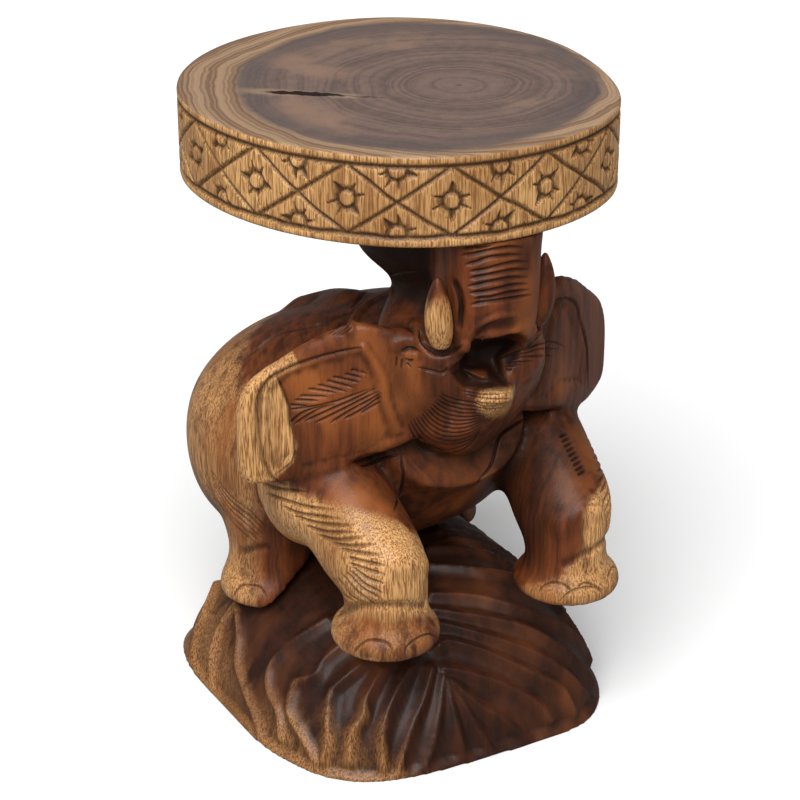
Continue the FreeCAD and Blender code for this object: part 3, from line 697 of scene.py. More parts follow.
MOUND_RIDGES = (
    ((213, 581), (201, 610), (192, 634), (190, 656), (192, 670)),
    ((232, 603), (222, 617), (211, 641), (208, 663), (209, 690)),
    ((234, 606), (236, 634), (234, 663), (242, 691), (251, 715), (258, 739)),
    ((326, 617), (296, 636), (278, 650), (266, 670), (266, 691), (275, 711), (278, 739)),
    ((340, 643), (323, 658), (313, 674), (294, 681), (287, 698), (287, 715), (299, 736), (313, 763)),
    ((361, 663), (340, 680), (330, 691), (326, 715), (326, 741), (321, 763)),
    ((382, 668), (366, 698), (363, 715), (351, 734), (349, 762)),
    ((411, 667), (397, 691), (387, 715), (382, 741), (385, 770)),
    ((433, 668), (425, 698), (414, 724), (404, 753), (399, 776)),
    ((445, 675), (440, 715), (433, 749), (423, 775)),
    ((448, 680), (456, 715), (463, 749), (466, 766)),
    ((452, 685), (466, 706), (478, 727), (488, 745), (493, 757)),
    ((452, 680), (483, 707), (503, 718), (524, 737), (530, 746)),
    ((445, 668), (464, 671), (478, 675), (507, 685), (538, 703), (553, 722)),
    ((440, 645), (450, 640), (480, 648), (503, 658), (538, 675), (565, 690), (577, 715)),
    ((436, 622), (450, 624), (495, 637), (538, 653), (572, 675), (589, 696)),
    ((434, 608), (460, 612), (486, 616), (529, 627), (565, 647), (586, 666), (597, 684)),
    ((432, 592), (474, 594), (520, 606), (565, 623), (588, 647), (600, 675)),
    ((430, 562), (474, 566), (520, 575), (564, 606), (585, 637)),
    ((430, 545), (470, 546), (505, 556), (530, 572)),
    ((440, 528), (470, 530), (495, 540), (512, 552)),
)
# The plain flutes of the back, which spread from the dome's middle with a slight curl
BACK_RIDGE_TURNS = [math.radians(degrees) for degrees in range(-22, 146, 14)]
BACK_RIDGE_REACH = 180 * MM
BACK_RIDGE_SHARES = np.linspace(0.25, 1.02, 60)
BACK_RIDGE_CURL = 0.35
OVER_MOUND = Vector((0, 0, 300 * MM))
MOUND_VOXEL = 1.7 * MM
FLUTE_DEPTH = 6.0 * MM
FLUTE_HALF = 11 * MM
FLUTE_FADE = 9 * MM
# The border of the log's heart, as its radius at turns round the pith
HEART_TURNS = [
    math.radians(degrees) for degrees in (0, 30, 60, 90, 120, 153, 185, 210, 232, 256, 287, 310, 335)
]
HEART_RADII = [radius * MM for radius in (150, 155, 155, 160, 165, 170, 168, 166, 160, 152, 142, 134, 142)]
BORDER_SLOPE = 30 * MM
MOUND_HEART_WIDER = 16 * MM
SCOOP_SAP_SHARE = 0.35
# Painted shade in the bottoms of the scoops
SCOOP_SHADE_SHARE = 0.32
MOUND_TONES = ((70, 37, 22), (44, 24, 17), (104, 58, 32), (172, 122, 74), (98, 62, 35))
MOUND_RINGS = 0.4


def sapwood_of(places, widened=0.0):
    """Return how far each point lies into the sapwood: 0.5 at its border, more outside."""
    across, back = places[:, 0] - PITH[0], places[:, 1] - PITH[1]
    border_radius = np.interp(np.arctan2(back, across), HEART_TURNS, HEART_RADII, period=2 * math.pi)
    return 0.5 + (np.hypot(across, back) - border_radius - widened) / BORDER_SLOPE


mound_mesh = shaped_by(merged_copy("base_mound"), "REMESH", mode="VOXEL", voxel_size=MOUND_VOXEL)
relaxed(mound_mesh, 2, 0.5, 0.5)
mound_tree = tree_of(mound_mesh)
ridges = [photo_path(mound_tree, pixels) for pixels in MOUND_RIDGES]
for turn in BACK_RIDGE_TURNS:
    ridge = []
    for share in BACK_RIDGE_SHARES:
        bearing = turn - BACK_RIDGE_CURL * share
        aim = Vector((math.cos(bearing), math.sin(bearing), 0)) * (share * BACK_RIDGE_REACH)
        hit = mound_tree.ray_cast(aim + OVER_MOUND, Vector((0, 0, -1)))
        if hit[0] is not None:
            ridge.append(hit[0][:])
    ridges.append(np.array(ridge))
mound_points = points_of(mound_mesh)
mound_normals = normals_of(mound_mesh)
nearest_ridge = np.full(len(mound_points), FLUTE_HALF)
for ridge in ridges:
    near, distance, _ = reach_of(mound_points, ridge, FLUTE_HALF)
    nearest_ridge[near] = np.minimum(nearest_ridge[near], distance)
scoop = np.sin(0.5 * math.pi * nearest_ridge / FLUTE_HALF)
scoop *= np.clip(mound_points[:, 2] / FLUTE_FADE, 0, 1) * np.clip(mound_normals[:, 2] * 4 + 1.5, 0, 1)
mound_points -= mound_normals * (scoop * FLUTE_DEPTH)[:, None]
set_points(mound_mesh, mound_points)
relaxed(mound_mesh, 1, 0.3, 0.3)

mound_sapwood = sapwood_of(points_of(mound_mesh), MOUND_HEART_WIDER) + SCOOP_SAP_SHARE * (0.6 - scoop)
# Stain and painted shade in the hollows of the mound, and painted shade in its scoops
mound_stain_and_shade = hollows_of(mound_mesh, 0.4, 6) + SCOOP_SHADE_SHARE * scoop ** 3
set_values(mound_mesh, "sapwood", mound_sapwood)
set_values(mound_mesh, "stain_and_shade", np.clip(mound_stain_and_shade, 0, 1))
mound_mesh.shade_smooth()
mound_mesh.materials.append(wood("mound_wood", MOUND_TONES, MOUND_RINGS))
mound = bpy.data.objects.new("carved_mound", mound_mesh)
scene.collection.objects.link(mound)
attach(mound, "root")
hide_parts("base_mound")

# Elephant: carved from the middle of the same log. Its forms run into each other, so they are
# joined, sanded, modelled and cut as one, and then parted again at the glued pieces' borders.
# Lines that the photograph shows are laid on the surface from its pixels, and some of those on the
# elephant's right side are repeated on its hidden left side.
ELEPHANT_NODES = (
    "torso", "head", "trunk", "lower_jaw", "tail", "right_hind_leg", "left_hind_leg", "right_foreleg",
    "left_foreleg", "right_ear", "left_ear",
)
ELEPHANT_VOXEL = 3.2 * MM
TONGUE_PLACE = (-8 * MM, -126 * MM, 322 * MM)
TONGUE_HALVES = (12 * MM, 26 * MM, 5 * MM)
TAIL_SWELL = 4.5 * MM


def between(first, last, count):
    """Return lines spread evenly from a first to a last one with as many points."""
    shares = [number / (count - 1) for number in range(count)]
    return tuple(
        tuple((a[0] + (b[0] - a[0]) * share, a[1] + (b[1] - a[1]) * share) for a, b in zip(first, last))
        for share in shares
    )


def seen_at(places):
    """Return where the camera sees these places, in photograph pixels."""
    turned = (places - np.array(CAMERA_PLACE)) @ np.array(camera.rotation_euler.to_matrix())
    half = PHOTO_SIDE / 2
    across, down = FOCAL_PIXELS * turned[:, :2].T / turned[:, 2]
    return half - across, half + down


def depth_inside(places, outline):
    """Return how many photograph pixels inside an outline the camera sees each place."""
    across, down = seen_at(places)
    inside = np.zeros(len(places), dtype=bool)
    distance = np.full(len(places), 1000.0)
    for (x1, y1), (x2, y2) in zip(outline, outline[1:] + outline[:1]):
        if y1 != y2:
            crosses = (down < y1) != (down < y2)
            inside ^= crosses & (across < x1 + (down - y1) * (x2 - x1) / (y2 - y1))
        run = np.array((x2 - x1, y2 - y1))
        share = np.clip(((across - x1) * run[0] + (down - y1) * run[1]) / (run @ run), 0, 1)
        distance = np.minimum(distance, np.hypot(across - x1 - share * run[0], down - y1 - share * run[1]))
    return np.where(inside, distance, -distance)


# Broad forms, as (line, half width and height in mm, whether the left side repeats it)
BROAD_FORMS = (
    (((303, 303), (318, 299), (333, 296), (347, 297)), 24, 6.0, False),
    (((363, 348), (373, 362), (382, 377), (385, 388), (386, 400), (392, 418), (398, 431)), 5, 2.2, True),
    (((416, 325), (419, 340), (428, 355), (442, 359), (457, 354), (466, 346)), 7, 3.0, True),
    (((448, 366), (457, 358), (466, 348), (473, 334), (483, 324), (497, 317), (512, 315)), 4.5, 2.2, False),
    (((470, 350), (479, 337), (493, 329), (512, 328)), 10, -4.5, False),
    (((429, 372), (438, 384), (450, 392)), 14, 2.5, True),
    (((268, 374), (253, 390), (247, 408), (246, 430), (246, 455), (252, 480)), 8, 2.6, False),
    (((350, 332), (354, 319), (363, 307), (378, 298), (392, 290)), 5, 2.6, False),
    (((455, 284), (460, 296), (461, 310), (459, 326)), 5, -3.0, True),
    (((397, 344), (408, 340), (420, 344)), 7, 2.0, True),
    (((407, 355), (414, 355)), 5, 1.6, True),
    (((418, 395), (412, 405)), 22, 3.0, True),
    (((425, 425), (445, 435), (465, 430)), 18, 2.5, False),
    (((484, 401), (498, 400), (509, 398)), 7, 2.5, False),
    (((398, 561), (412, 560), (424, 565)), 16, 3.0, True),
    (((340, 612), (365, 606), (400, 606), (424, 606)), 7, -2.0, True),
    (((243, 552), (254, 549), (266, 547)), 6, -2.0, False),
    (((224, 500), (236, 515), (250, 524)), 14, 3.0, False),
)
# Grooves of the right side, some of them repeated on the left side
EAR_RIM = ((361, 348), (346, 351.5), (323, 357), (300, 364), (284, 371), (270.5, 379), (264, 388), (260, 399),
           (261, 419), (262, 442), (266, 465))
EAR_RIM_LOW = ((263, 383), (259, 400), (258.5, 419), (260, 442), (264, 462), (272, 478), (286, 484))
EAR_FACET = ((277, 376), (288, 405), (289, 421), (295, 442), (292, 461), (273, 476))
EAR_PANEL = ((361, 348), (323, 357), (284, 371), (264, 388), (260, 399), (262, 442), (266, 465), (273, 476),
             (292, 461), (300, 475), (333, 468), (368, 461), (397, 440), (385, 400), (373, 362))
EAR_QUILL = ((289, 410), (312, 407), (335, 402), (352, 396), (370, 389))
EAR_BARBS = (
    ((351, 370), (367, 374)), ((345, 374), (362, 378.5)), ((333, 377), (359.5, 383)),
    ((327, 381), (354, 388)),
    ((318, 385), (347, 392)), ((308, 389), (336, 393)), ((300, 396), (328, 397)), ((295, 400), (318, 401)),
    ((290, 405), (309.5, 407)), ((295, 424), (316, 411), (335, 404)),
    ((305, 421.5), (335, 408), (355.5, 399), (374, 389)), ((316, 423), (340.5, 411), (358, 402), (378, 392)),
    ((331, 423), (352, 410), (369, 401), (381, 393)), ((345, 419), (363.5, 409), (381, 396)),
    ((361, 413.5), (380, 402)), ((288, 425), (305, 412), (335, 404)),
)
FORELEG_GOUGES = (
    ((261, 483), (280, 489), (307, 492)), ((267, 494), (286, 501), (307, 507), (335, 510)),
    ((283, 507), (298, 513.5), (319, 516.5), (342, 519)), ((295, 516.5), (316, 523), (338, 525), (353, 525)),
    ((307, 526.5), (325.5, 532), (353, 532)), ((319, 536), (338, 540), (365, 536)),
    ((332, 543), (350, 546), (376, 544)), ((341, 549), (361, 553), (381, 555)),
    ((348.5, 558), (368, 562.5), (386, 566)), ((350, 564), (367, 570), (385, 575)),
    ((351.5, 567), (368, 579), (385, 584)), ((351, 572), (365, 585), (382, 593)),
    ((347, 573), (362, 588.5), (381, 599)), ((342, 575), (358, 593), (374.5, 604)),
    ((338, 578), (350, 595), (362, 602)), ((333, 581), (344, 595), (356, 602)),
)
FORE_NAILS = (
    ((354, 653), (359, 646), (367, 640.5), (376, 640), (386, 642), (391, 647), (396, 656)),
    ((405, 654), (408, 646), (414, 640.5), (422, 636), (430, 634), (436, 637), (439, 642)),
)
EYE_LINES = (((402, 352), (408, 348), (415, 349), (421, 353)), ((405, 359), (409, 360.5), (414, 360)))
EYE_WRINKLES = (((397, 357), (396, 367)), ((402, 359), (401, 369)), ((407, 363), (411, 368)))
SOCKET_LINE = ((420, 331), (423, 342), (432, 350), (442, 353.5), (452, 351), (463, 345))
CHEEK_LINE = ((418, 368), (433, 371), (443, 373), (448, 366.7))
# Grooves of the trunk, the mouth, the back and the chest
TRUNK_WRINKLES = (
    ((463, 248.7), (477, 247), (494, 244)),
    ((461.7, 255.8), (473, 254.7), (490, 251), (507, 248), (523, 247.5)),
    ((465.8, 265), (477, 262.5), (490, 258), (507, 256), (522, 255)),
    ((470, 272), (483, 270.5), (497, 266.7), (513, 263), (527, 262)),
    ((470, 278.7), (483, 276.7), (497, 273.7), (513, 270.8), (528, 269.7)),
    ((468.3, 286.7), (478, 285.3), (493, 281.7), (510, 278.7), (527.5, 277.5)),
    ((470, 293.3), (483, 292.5), (498, 289.2), (513, 285.8), (527.5, 284.2)),
    ((475, 299.2), (490, 298), (505, 294.2), (520, 291.7), (529, 290)),
    ((471.7, 305), (485, 302.5), (498, 300.8), (515, 298.3), (531.7, 295.3)),
)
POUCH_TOP = ((443, 395), (449, 398), (456, 400), (463, 401.5), (470, 402.5), (476, 404), (482, 406),
             (488, 409))
POUCH_MIDDLE = ((428, 410), (433, 416), (440, 421), (450, 424.5), (460, 425), (470, 423.5), (477, 421),
                (484, 418))
POUCH_BOTTOM = ((408, 424), (412, 433), (419, 443), (429, 451), (444, 454), (460, 451), (473, 442),
                (481, 429))
POUCH_GROOVES = between(POUCH_TOP, POUCH_MIDDLE, 7) + between(POUCH_MIDDLE, POUCH_BOTTOM, 8)[1:]
LIP_GROOVES = (
    ((462, 391), (483, 394), (510, 392.5)), ((466, 395), (490, 399), (511.7, 399)),
    ((474, 402), (490, 404), (508, 403)),
    ((480, 408), (492, 409.5), (505, 407)),
)
TUSK_SIDE_LINE = ((454, 282), (458, 292), (461, 306), (460, 322))
SPINE_SPLIT = ((238, 362), (257, 349), (270.5, 338), (284, 332), (312, 326), (330, 319), (352, 312.5))
MANE_HATCH = between(((358, 295), (369, 289)), ((350, 308), (357, 304)), 9)
BACK_STROKES = between(((343, 323), (328, 334)), ((352, 327), (340, 336)), 4)
CROWN_CREASE = ((391, 275), (404, 272.5), (418, 271))
LEFT_EAR_RIM = ((556, 300), (565, 299), (575, 302), (580, 318), (586.5, 343), (588, 368), (588, 387))
LEFT_EAR_BARBS = (
    ((500, 358), (515, 353), (529, 346), (537, 338), (546, 328)),
    ((503, 357), (523.5, 350.5), (541, 344), (553, 342), (565, 347)),
    ((504, 359), (523.5, 354), (541, 349), (559, 349)), ((504, 361), (525, 357), (552, 356)),
    ((504, 363), (518, 362.5), (534, 361)), ((504, 366), (522, 365)), ((505, 369), (512, 369.5)),
)
CHEST_LINES = (
    ((526, 418), (506, 430.5), (498, 440), (492, 463), (480, 480), (469, 489)),
    ((361, 466), (380, 460), (400.5, 454)), ((402, 455), (402, 486), (394, 512)),
)
HIND_BUNDLE = between(
    ((211.5, 471), (220, 484), (231, 497), (250.5, 512), (266, 527)),
    ((214, 492), (222, 507), (232, 522), (244, 534), (258, 545)), 6,
)
HIND_NAIL = ((233, 597), (238, 589), (244, 585), (260, 587), (267, 598))
LEFT_LEG_CUTS = between(((560, 437), (567, 433)), ((578, 475), (586, 470)), 9)
LEFT_NAILS = (
    ((538, 592), (543, 586), (550, 583), (560, 583), (570, 589), (576, 599)),
    ((578, 588), (584, 583), (593, 585), (602, 590)),
)
# Each family of grooves, as (lines, half width and depth in mm, whether the left side repeats it)
GROOVES = (
    ((EAR_RIM,), 2.8, 2.6, False), ((EAR_RIM_LOW,), 3.0, 2.6, False), ((EAR_FACET,), 1.6, 1.0, False),
    ((EAR_QUILL,), 1.5, 1.5, False),
    (EAR_BARBS, 1.5, 1.9, False), (FORELEG_GOUGES, 2.2, 2.2, True), (FORE_NAILS, 1.3, 1.5, True),
    (EYE_LINES, 1.2, 1.3, True), (EYE_WRINKLES, 1.0, 1.0, True), ((SOCKET_LINE,), 2.4, 2.4, True),
    ((CHEEK_LINE,), 1.6, 1.6, False), (TRUNK_WRINKLES, 2.4, 2.4, False), (POUCH_GROOVES, 1.25, 1.25, False),
    (LIP_GROOVES, 1.2, 1.0, False), ((TUSK_SIDE_LINE,), 2.2, 2.2, True),
    ((SPINE_SPLIT,), 2.6, 2.4, False), (MANE_HATCH, 1.0, 1.1, False),
    (BACK_STROKES, 1.2, 1.2, False), ((CROWN_CREASE,), 1.6, 1.6, False), ((LEFT_EAR_RIM,), 2.4, 2.2, False),
    (LEFT_EAR_BARBS, 1.2, 1.2, False), (CHEST_LINES, 1.8, 2.0, False), (HIND_BUNDLE, 1.5, 1.5, False),
    ((HIND_NAIL,), 1.2, 1.4, False), (LEFT_LEG_CUTS, 1.6, 1.4, False), (LEFT_NAILS, 1.2, 1.3, False),
)
LEFT_EAR_PANEL = ((540, 300), (556, 297), (572, 299), (580, 318), (586.5, 343), (589, 372), (585, 386),
                  (566, 388),
                  (552, 403), (520, 405), (505, 370), (530, 335))
EAR_PANELS = {"right_ear": EAR_PANEL, "left_ear": LEFT_EAR_PANEL}
PANEL_DEPTH = 2.6 * MM
PANEL_SLOPE = 7
MOUTH_OUTLINE = ((458, 361), (463, 352), (473, 344), (484, 338.5), (497, 336), (507, 336.5), (518, 342),
                 (510, 350),
                 (501, 358), (505, 373), (512, 386), (511, 390), (483, 391), (463, 390), (453, 383),
                 (448, 373))
MOUTH_PUSH = 7 * MM
MOUTH_SLOPE = 7
TONGUE_OUTLINE = ((461, 367), (490, 366), (490, 381), (480, 380), (469, 375))
TONGUE_SLOPE = 3
# Ear outlines: the top edge of an ear rises to the cheek and falls to its rim, and the foot of
# the left ear rises towards its rim
EAR_OUTS = [out * MM for out in (60, 85, 100, 118, 135, 150, 166)]
EAR_TOP_RISES = [rise * MM for rise in (4, 11, 9, 4, -4, -9, -12)]
EAR_FOOT_RISES = [rise * MM for rise in (0, 0, 0, 0, 2, 6, 10)]
EAR_TOP_LEVEL = 320 * MM
EAR_LEVEL_SPAN = 35 * MM
CAP_DEPTH = 4 * MM
# How much a groove fades at its start and at its end, as (share of its length, share left there)
GROOVE_START = (0.12, 0.3)
GROOVE_END = (0.3, 0.15)
FINE_MARGIN = 1.2 * MM
# Heart, dark heart, glow of the heart, sapwood and dark sapwood
ELEPHANT_TONES = ((125, 65, 32), (72, 37, 21), (154, 88, 42), (232, 178, 116), (140, 92, 52))
ELEPHANT_RINGS = 0.4
# Golden sapwood on two pieces that the photograph shows split between gold and dark heart, whatever
# the log's own border, and how wide each border is in pixels and how golden it gets
SAP_PATCHES = {
    "right_ear": ((292, 350), (262, 358), (238, 381), (232, 400), (234, 465), (239, 488), (258, 488),
                  (276, 478),
                  (293, 462), (297, 446), (290, 421), (288, 405), (278, 377), (300, 366)),
    "lower_jaw": ((482, 391), (514, 388), (514, 404), (508, 412), (489, 418), (480, 411), (478, 400)),
}
SAP_BORDERS = {"right_ear": (5, 1.2), "lower_jaw": (12, 0.75)}
# The most sapwood of the rump's pieces, which are streaked with heart, and of the others
SAP_LIMITS = {"torso": 0.54, "tail": 0.54, "right_hind_leg": 0.54, "left_hind_leg": 0.54}
SAP_LIMIT = 1.2
# Softer changes of tone, as (piece, outline, width of its border in pixels, share of sapwood inside)
SOFT_PATCHES = (
    ("right_foreleg", ((240, 480), (262, 484), (290, 500), (320, 510), (350, 512), (380, 520), (405, 528),
                       (430, 545),
                       (446, 600), (440, 660), (330, 660), (300, 580), (240, 520)), 18, 1.05),
    ("right_foreleg", ((285, 450), (345, 462), (420, 470), (446, 520), (430, 536), (400, 520), (372, 510),
                       (330, 500),
                       (300, 490), (276, 474)), 16, 0.0),
    ("right_foreleg", ((328, 622), (350, 612), (385, 618), (420, 612), (440, 616), (446, 640), (428, 662),
                       (391, 668),
                       (350, 660), (330, 642)), 14, 0.28),
    ("left_foreleg", ((586, 500), (606, 480), (622, 520), (628, 600), (590, 612), (520, 608), (512, 580),
                      (560, 572),
                      (588, 545)), 18, 0.48),
    ("left_foreleg", ((586, 492), (606, 470), (624, 520), (622, 566), (598, 568), (584, 545)), 14, 1.0),
    ("left_foreleg", ((480, 430), (560, 412), (596, 440), (602, 482), (584, 508), (580, 545), (556, 564),
                      (510, 560)), 18, -0.2),
)
# Places darkened by painted shade, as (outline, width of its border in pixels, share of shade)
SHADE_PATCHES = (
    (((470, 440), (500, 424), (560, 410), (588, 430), (592, 470), (576, 500), (560, 530), (536, 556),
      (520, 560)), 30, 0.7),
    (((396, 366), (430, 374), (452, 396), (436, 420), (410, 424), (394, 402)), 22, 0.3),
    (((270, 452), (345, 466), (420, 470), (440, 500), (400, 506), (340, 492), (280, 484)), 26, 0.35),
    (((360, 440), (400, 450), (470, 460), (500, 440), (480, 490), (430, 510), (400, 500)), 26, 0.3),
)
# The sapwood darkens towards the top of the back
BACK_LEVEL = 280 * MM
BACK_SPAN = 80 * MM
BACK_SHADE = 0.9
# Rays that test how open each place is to the room, spread evenly over a ball, for the painted shade of
# closed-in places
OPEN_RAYS = 14
OPEN_REACH = 70 * MM
OPEN_LEAST_RISE = 0.15
OFF_SURFACE = 1.5 * MM
CLOSED_SHARE = 0.42
CLOSED_GAIN = 1.4
CLOSED_START = 0.3
# The crown of the head behind the trunk gets the darkest painted shadow, up under the seat
SEAT_SHADOW_LOW = 352 * MM
SEAT_SHADOW_SPAN = 40 * MM
# How much each kind of place is darkened: painted shade beside the tail, stain and painted shade in the
# hollows, painted shade where the form is closed in and inside the mouth, and stain in the grooves
TAIL_EDGE_SHADE = 2.2
HOLLOW_STAIN_AND_SHADE = 0.6
CLOSED_SHADE = 0.85
MOUTH_SHADE = 0.9
GROOVE_STAIN = 0.78


def mirrored_path(tree, path):
    """Return a path on the right side of the elephant, laid on its left side."""
    return np.array([tree.find_nearest(Vector((-x, y, z)))[0][:] for x, y, z in path]).reshape(-1, 3)


def sides_of(tree, line, repeats):
    """Return a photograph line as a path on the surface, with its mirrored path if it repeats."""
    path = photo_path(tree, line)
    return (path, mirrored_path(tree, path)) if repeats else (path,)


joined = merged_copy(*ELEPHANT_NODES)
tongue_bm = bmesh.new()
tongue_bm.from_mesh(joined)
tongue_shape = Matrix.LocRotScale(Vector(TONGUE_PLACE), None, Vector(TONGUE_HALVES))
bmesh.ops.create_uvsphere(tongue_bm, u_segments=32, v_segments=16, radius=1, matrix=tongue_shape)
tongue_bm.to_mesh(joined)
tongue_bm.free()
elephant_mesh = shaped_by(joined, "REMESH", mode="VOXEL", voxel_size=ELEPHANT_VOXEL)
relaxed(elephant_mesh, 8, 0.55, 0.2)

# Each face of the joined form belongs to the glued piece that it lies nearest to
solids_bm = bmesh.new()
piece_ends = []
for name in ELEPHANT_NODES:
    solids_bm.from_mesh(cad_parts[name].data)
    piece_ends.append(len(solids_bm.faces))
solids_tree = BVHTree.FromBMesh(solids_bm)
solids_bm.free()
nearest_faces = [solids_tree.find_nearest(face.center)[2] for face in elephant_mesh.polygons]
elephant_mesh.polygons.foreach_set("material_index", np.searchsorted(piece_ends, nearest_faces, side="right"))
for name in ELEPHANT_NODES:
    elephant_mesh.materials.append(None)
elephant_mesh = shaped_by(elephant_mesh, "SUBSURF", levels=1, render_levels=1)

form_points = points_of(elephant_mesh)
form_normals = normals_of(elephant_mesh)
owners = np.zeros(len(elephant_mesh.polygons), dtype=np.int64)
elephant_mesh.polygons.foreach_get("material_index", owners)
corners = np.zeros(len(elephant_mesh.loops), dtype=np.int64)
elephant_mesh.loops.foreach_get("vertex_index", corners)
corner_counts = np.zeros(len(elephant_mesh.polygons), dtype=np.int64)
elephant_mesh.polygons.foreach_get("loop_total", corner_counts)
facing = np.sum(form_normals * (np.array(CAMERA_PLACE) - form_points), axis=1) > 0


def owned_by(*names):
    """Return which points of the joined form belong to these glued pieces."""
    owned = np.zeros(len(form_points), dtype=bool)
    for name in names:
        owned[corners[np.repeat(owners == ELEPHANT_NODES.index(name), corner_counts)]] = True
    return owned


# The outlines of the ears, the tail and the mouth
high = np.clip((form_points[:, 2] - EAR_TOP_LEVEL) / EAR_LEVEL_SPAN, 0, 1) * owned_by("right_ear", "left_ear")
low = np.clip((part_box("left_ear")[0].z + EAR_LEVEL_SPAN - form_points[:, 2]) / EAR_LEVEL_SPAN, 0, 1)
ear_rise = high * np.interp(abs(form_points[:, 0]), EAR_OUTS, EAR_TOP_RISES)
ear_rise += low * owned_by("left_ear") * np.interp(form_points[:, 0], EAR_OUTS, EAR_FOOT_RISES)
form_points[:, 2] += evened(elephant_mesh, ear_rise, 8)
on_tail = owned_by("tail").astype(float)
tail_swell = evened(elephant_mesh, on_tail, 2)
form_points += form_normals * (tail_swell * TAIL_SWELL)[:, None]
mouth_depth = np.clip(depth_inside(form_points, MOUTH_OUTLINE) / MOUTH_SLOPE, 0, 1)
mouth_depth *= owned_by("head", "trunk", "lower_jaw") & facing & (form_points[:, 1] < SEAT_LOW.y / 2)
mouth_depth *= 1 - np.clip(depth_inside(form_points, TONGUE_OUTLINE) / TONGUE_SLOPE, 0, 1)
mouth_depth = evened(elephant_mesh, mouth_depth, 3)
inward = form_points - np.array(CAMERA_PLACE)
inward /= np.linalg.norm(inward, axis=1)[:, None]
form_points += inward * (mouth_depth * MOUTH_PUSH)[:, None]
set_points(elephant_mesh, form_points)

form_tree = tree_of(elephant_mesh)
form_normals = normals_of(elephant_mesh)
for line, half_width, height, repeats in BROAD_FORMS:
    for side in sides_of(form_tree, line, repeats):
        near, distance, _ = reach_of(form_points, side, half_width * MM)
        swell = np.cos(0.5 * math.pi * distance / (half_width * MM)) ** 2
        form_points[near] += form_normals[near] * (swell * height * MM)[:, None]
set_points(elephant_mesh, form_points)

# Ear panels lie a little below their rims
for name, outline in EAR_PANELS.items():
    sunk = np.clip(depth_inside(form_points, outline) / PANEL_SLOPE, 0, 1) * (owned_by(name) & facing)
    form_points -= form_normals * (sunk * PANEL_DEPTH)[:, None]
set_points(elephant_mesh, form_points)

# Painted shade darkens the places closed in from the room, under the seat, inside the mouth and beside the
# tail, and stain with painted shade darkens the hollows
shadow_tree = tree_of(elephant_mesh)
open_ways = []
for number in range(OPEN_RAYS):
    height = 1 - 2 * (number + 0.5) / OPEN_RAYS
    bearing = number * math.pi * (3 - math.sqrt(5))
    flat = math.sqrt(1 - height * height)
    open_ways.append(Vector((flat * math.cos(bearing), flat * math.sin(bearing), height)))
closed_shade = np.zeros(len(form_points))
for number, (point, outward) in enumerate(zip(form_points, form_normals)):
    normal = Vector(outward)
    place = Vector(point) + normal * OFF_SURFACE
    for way in open_ways:
        if way.dot(normal) >= OPEN_LEAST_RISE and shadow_tree.ray_cast(place, way, OPEN_REACH)[0] is not None:
            closed_shade[number] += 1
closed_shade = np.clip(closed_shade / (CLOSED_SHARE * OPEN_RAYS) * CLOSED_GAIN - CLOSED_START, 0, 1)
closed_shade = evened(elephant_mesh, closed_shade, 6)
for outline, slope, strength in SHADE_PATCHES:
    darkened = np.clip(0.5 + depth_inside(form_points, outline) / slope, 0, 1) * facing
    closed_shade = np.maximum(closed_shade, strength * evened(elephant_mesh, darkened, 6))
# Painted shadow of the seat on the crown of the head
seat_shadow = np.clip((form_points[:, 2] - SEAT_SHADOW_LOW) / SEAT_SHADOW_SPAN, 0, 1) * owned_by("head")
# Painted shade along the edges of the tail and inside the mouth, with stain and painted shade in the hollows
beside_tail = evened(elephant_mesh, on_tail, 10) * (1 - tail_swell)
kept_stain_and_shade = TAIL_EDGE_SHADE * beside_tail + HOLLOW_STAIN_AND_SHADE * hollows_of(elephant_mesh, 0.7, 5)
kept_stain_and_shade += CLOSED_SHADE * closed_shade + MOUTH_SHADE * evened(elephant_mesh, mouth_depth, 3)
set_values(elephant_mesh, "hollow", np.clip(kept_stain_and_shade + evened(elephant_mesh, seat_shadow, 10), 0, 1))

# Grooves are cut into a mesh that is finer beside them
groove_tree = tree_of(elephant_mesh)
groove_paths = []
for lines, half_width, depth, repeats in GROOVES:
    for line in lines:
        groove_paths += [(side, half_width * MM, depth * MM) for side in sides_of(groove_tree, line, repeats)]
close_by = np.zeros(len(form_points), dtype=bool)
for path, half_width, _ in groove_paths:
    near, _, _ = reach_of(form_points, path, half_width + FINE_MARGIN)
    close_by[near] = True
fine_bm = bmesh.new()
fine_bm.from_mesh(elephant_mesh)
fine_edges = [edge for edge in fine_bm.edges if all(close_by[vertex.index] for vertex in edge.verts)]
bmesh.ops.subdivide_edges(fine_bm, edges=fine_edges, cuts=2, use_grid_fill=True)
fine_bm.to_mesh(elephant_mesh)
fine_bm.free()

elephant_points = points_of(elephant_mesh)
elephant_normals = normals_of(elephant_mesh)
depths = np.zeros(len(elephant_points))
groove_stain = np.zeros(len(elephant_points))
for path, half_width, depth in groove_paths:
    near, distance, share = reach_of(elephant_points, path, half_width)
    (start, start_left), (end, end_left) = GROOVE_START, GROOVE_END
    taper = np.clip(share / start + start_left, 0, 1) * np.clip((1 - share) / end + end_left, 0, 1)
    cut_share = np.clip(1 - distance / (half_width * (0.45 + 0.55 * taper)), 0, 1)
    depths[near] = np.maximum(depths[near], cut_share * depth * taper)
    groove_stain[near] = np.maximum(groove_stain[near], cut_share ** 0.8 * (0.4 + 0.6 * taper))
elephant_points -= elephant_normals * depths[:, None]
set_points(elephant_mesh, elephant_points)
set_values(elephant_mesh, "sapwood", sapwood_of(elephant_points))
hollow = np.zeros(len(elephant_points))
elephant_mesh.attributes["hollow"].data.foreach_get("value", hollow)
set_values(elephant_mesh, "stain_and_shade", np.clip(GROOVE_STAIN * groove_stain + hollow, 0, 1))
blend = elephant_mesh.attributes.new("blend_normal", "FLOAT_VECTOR", "POINT")
blend.data.foreach_set("vector", normals_of(elephant_mesh).ravel())

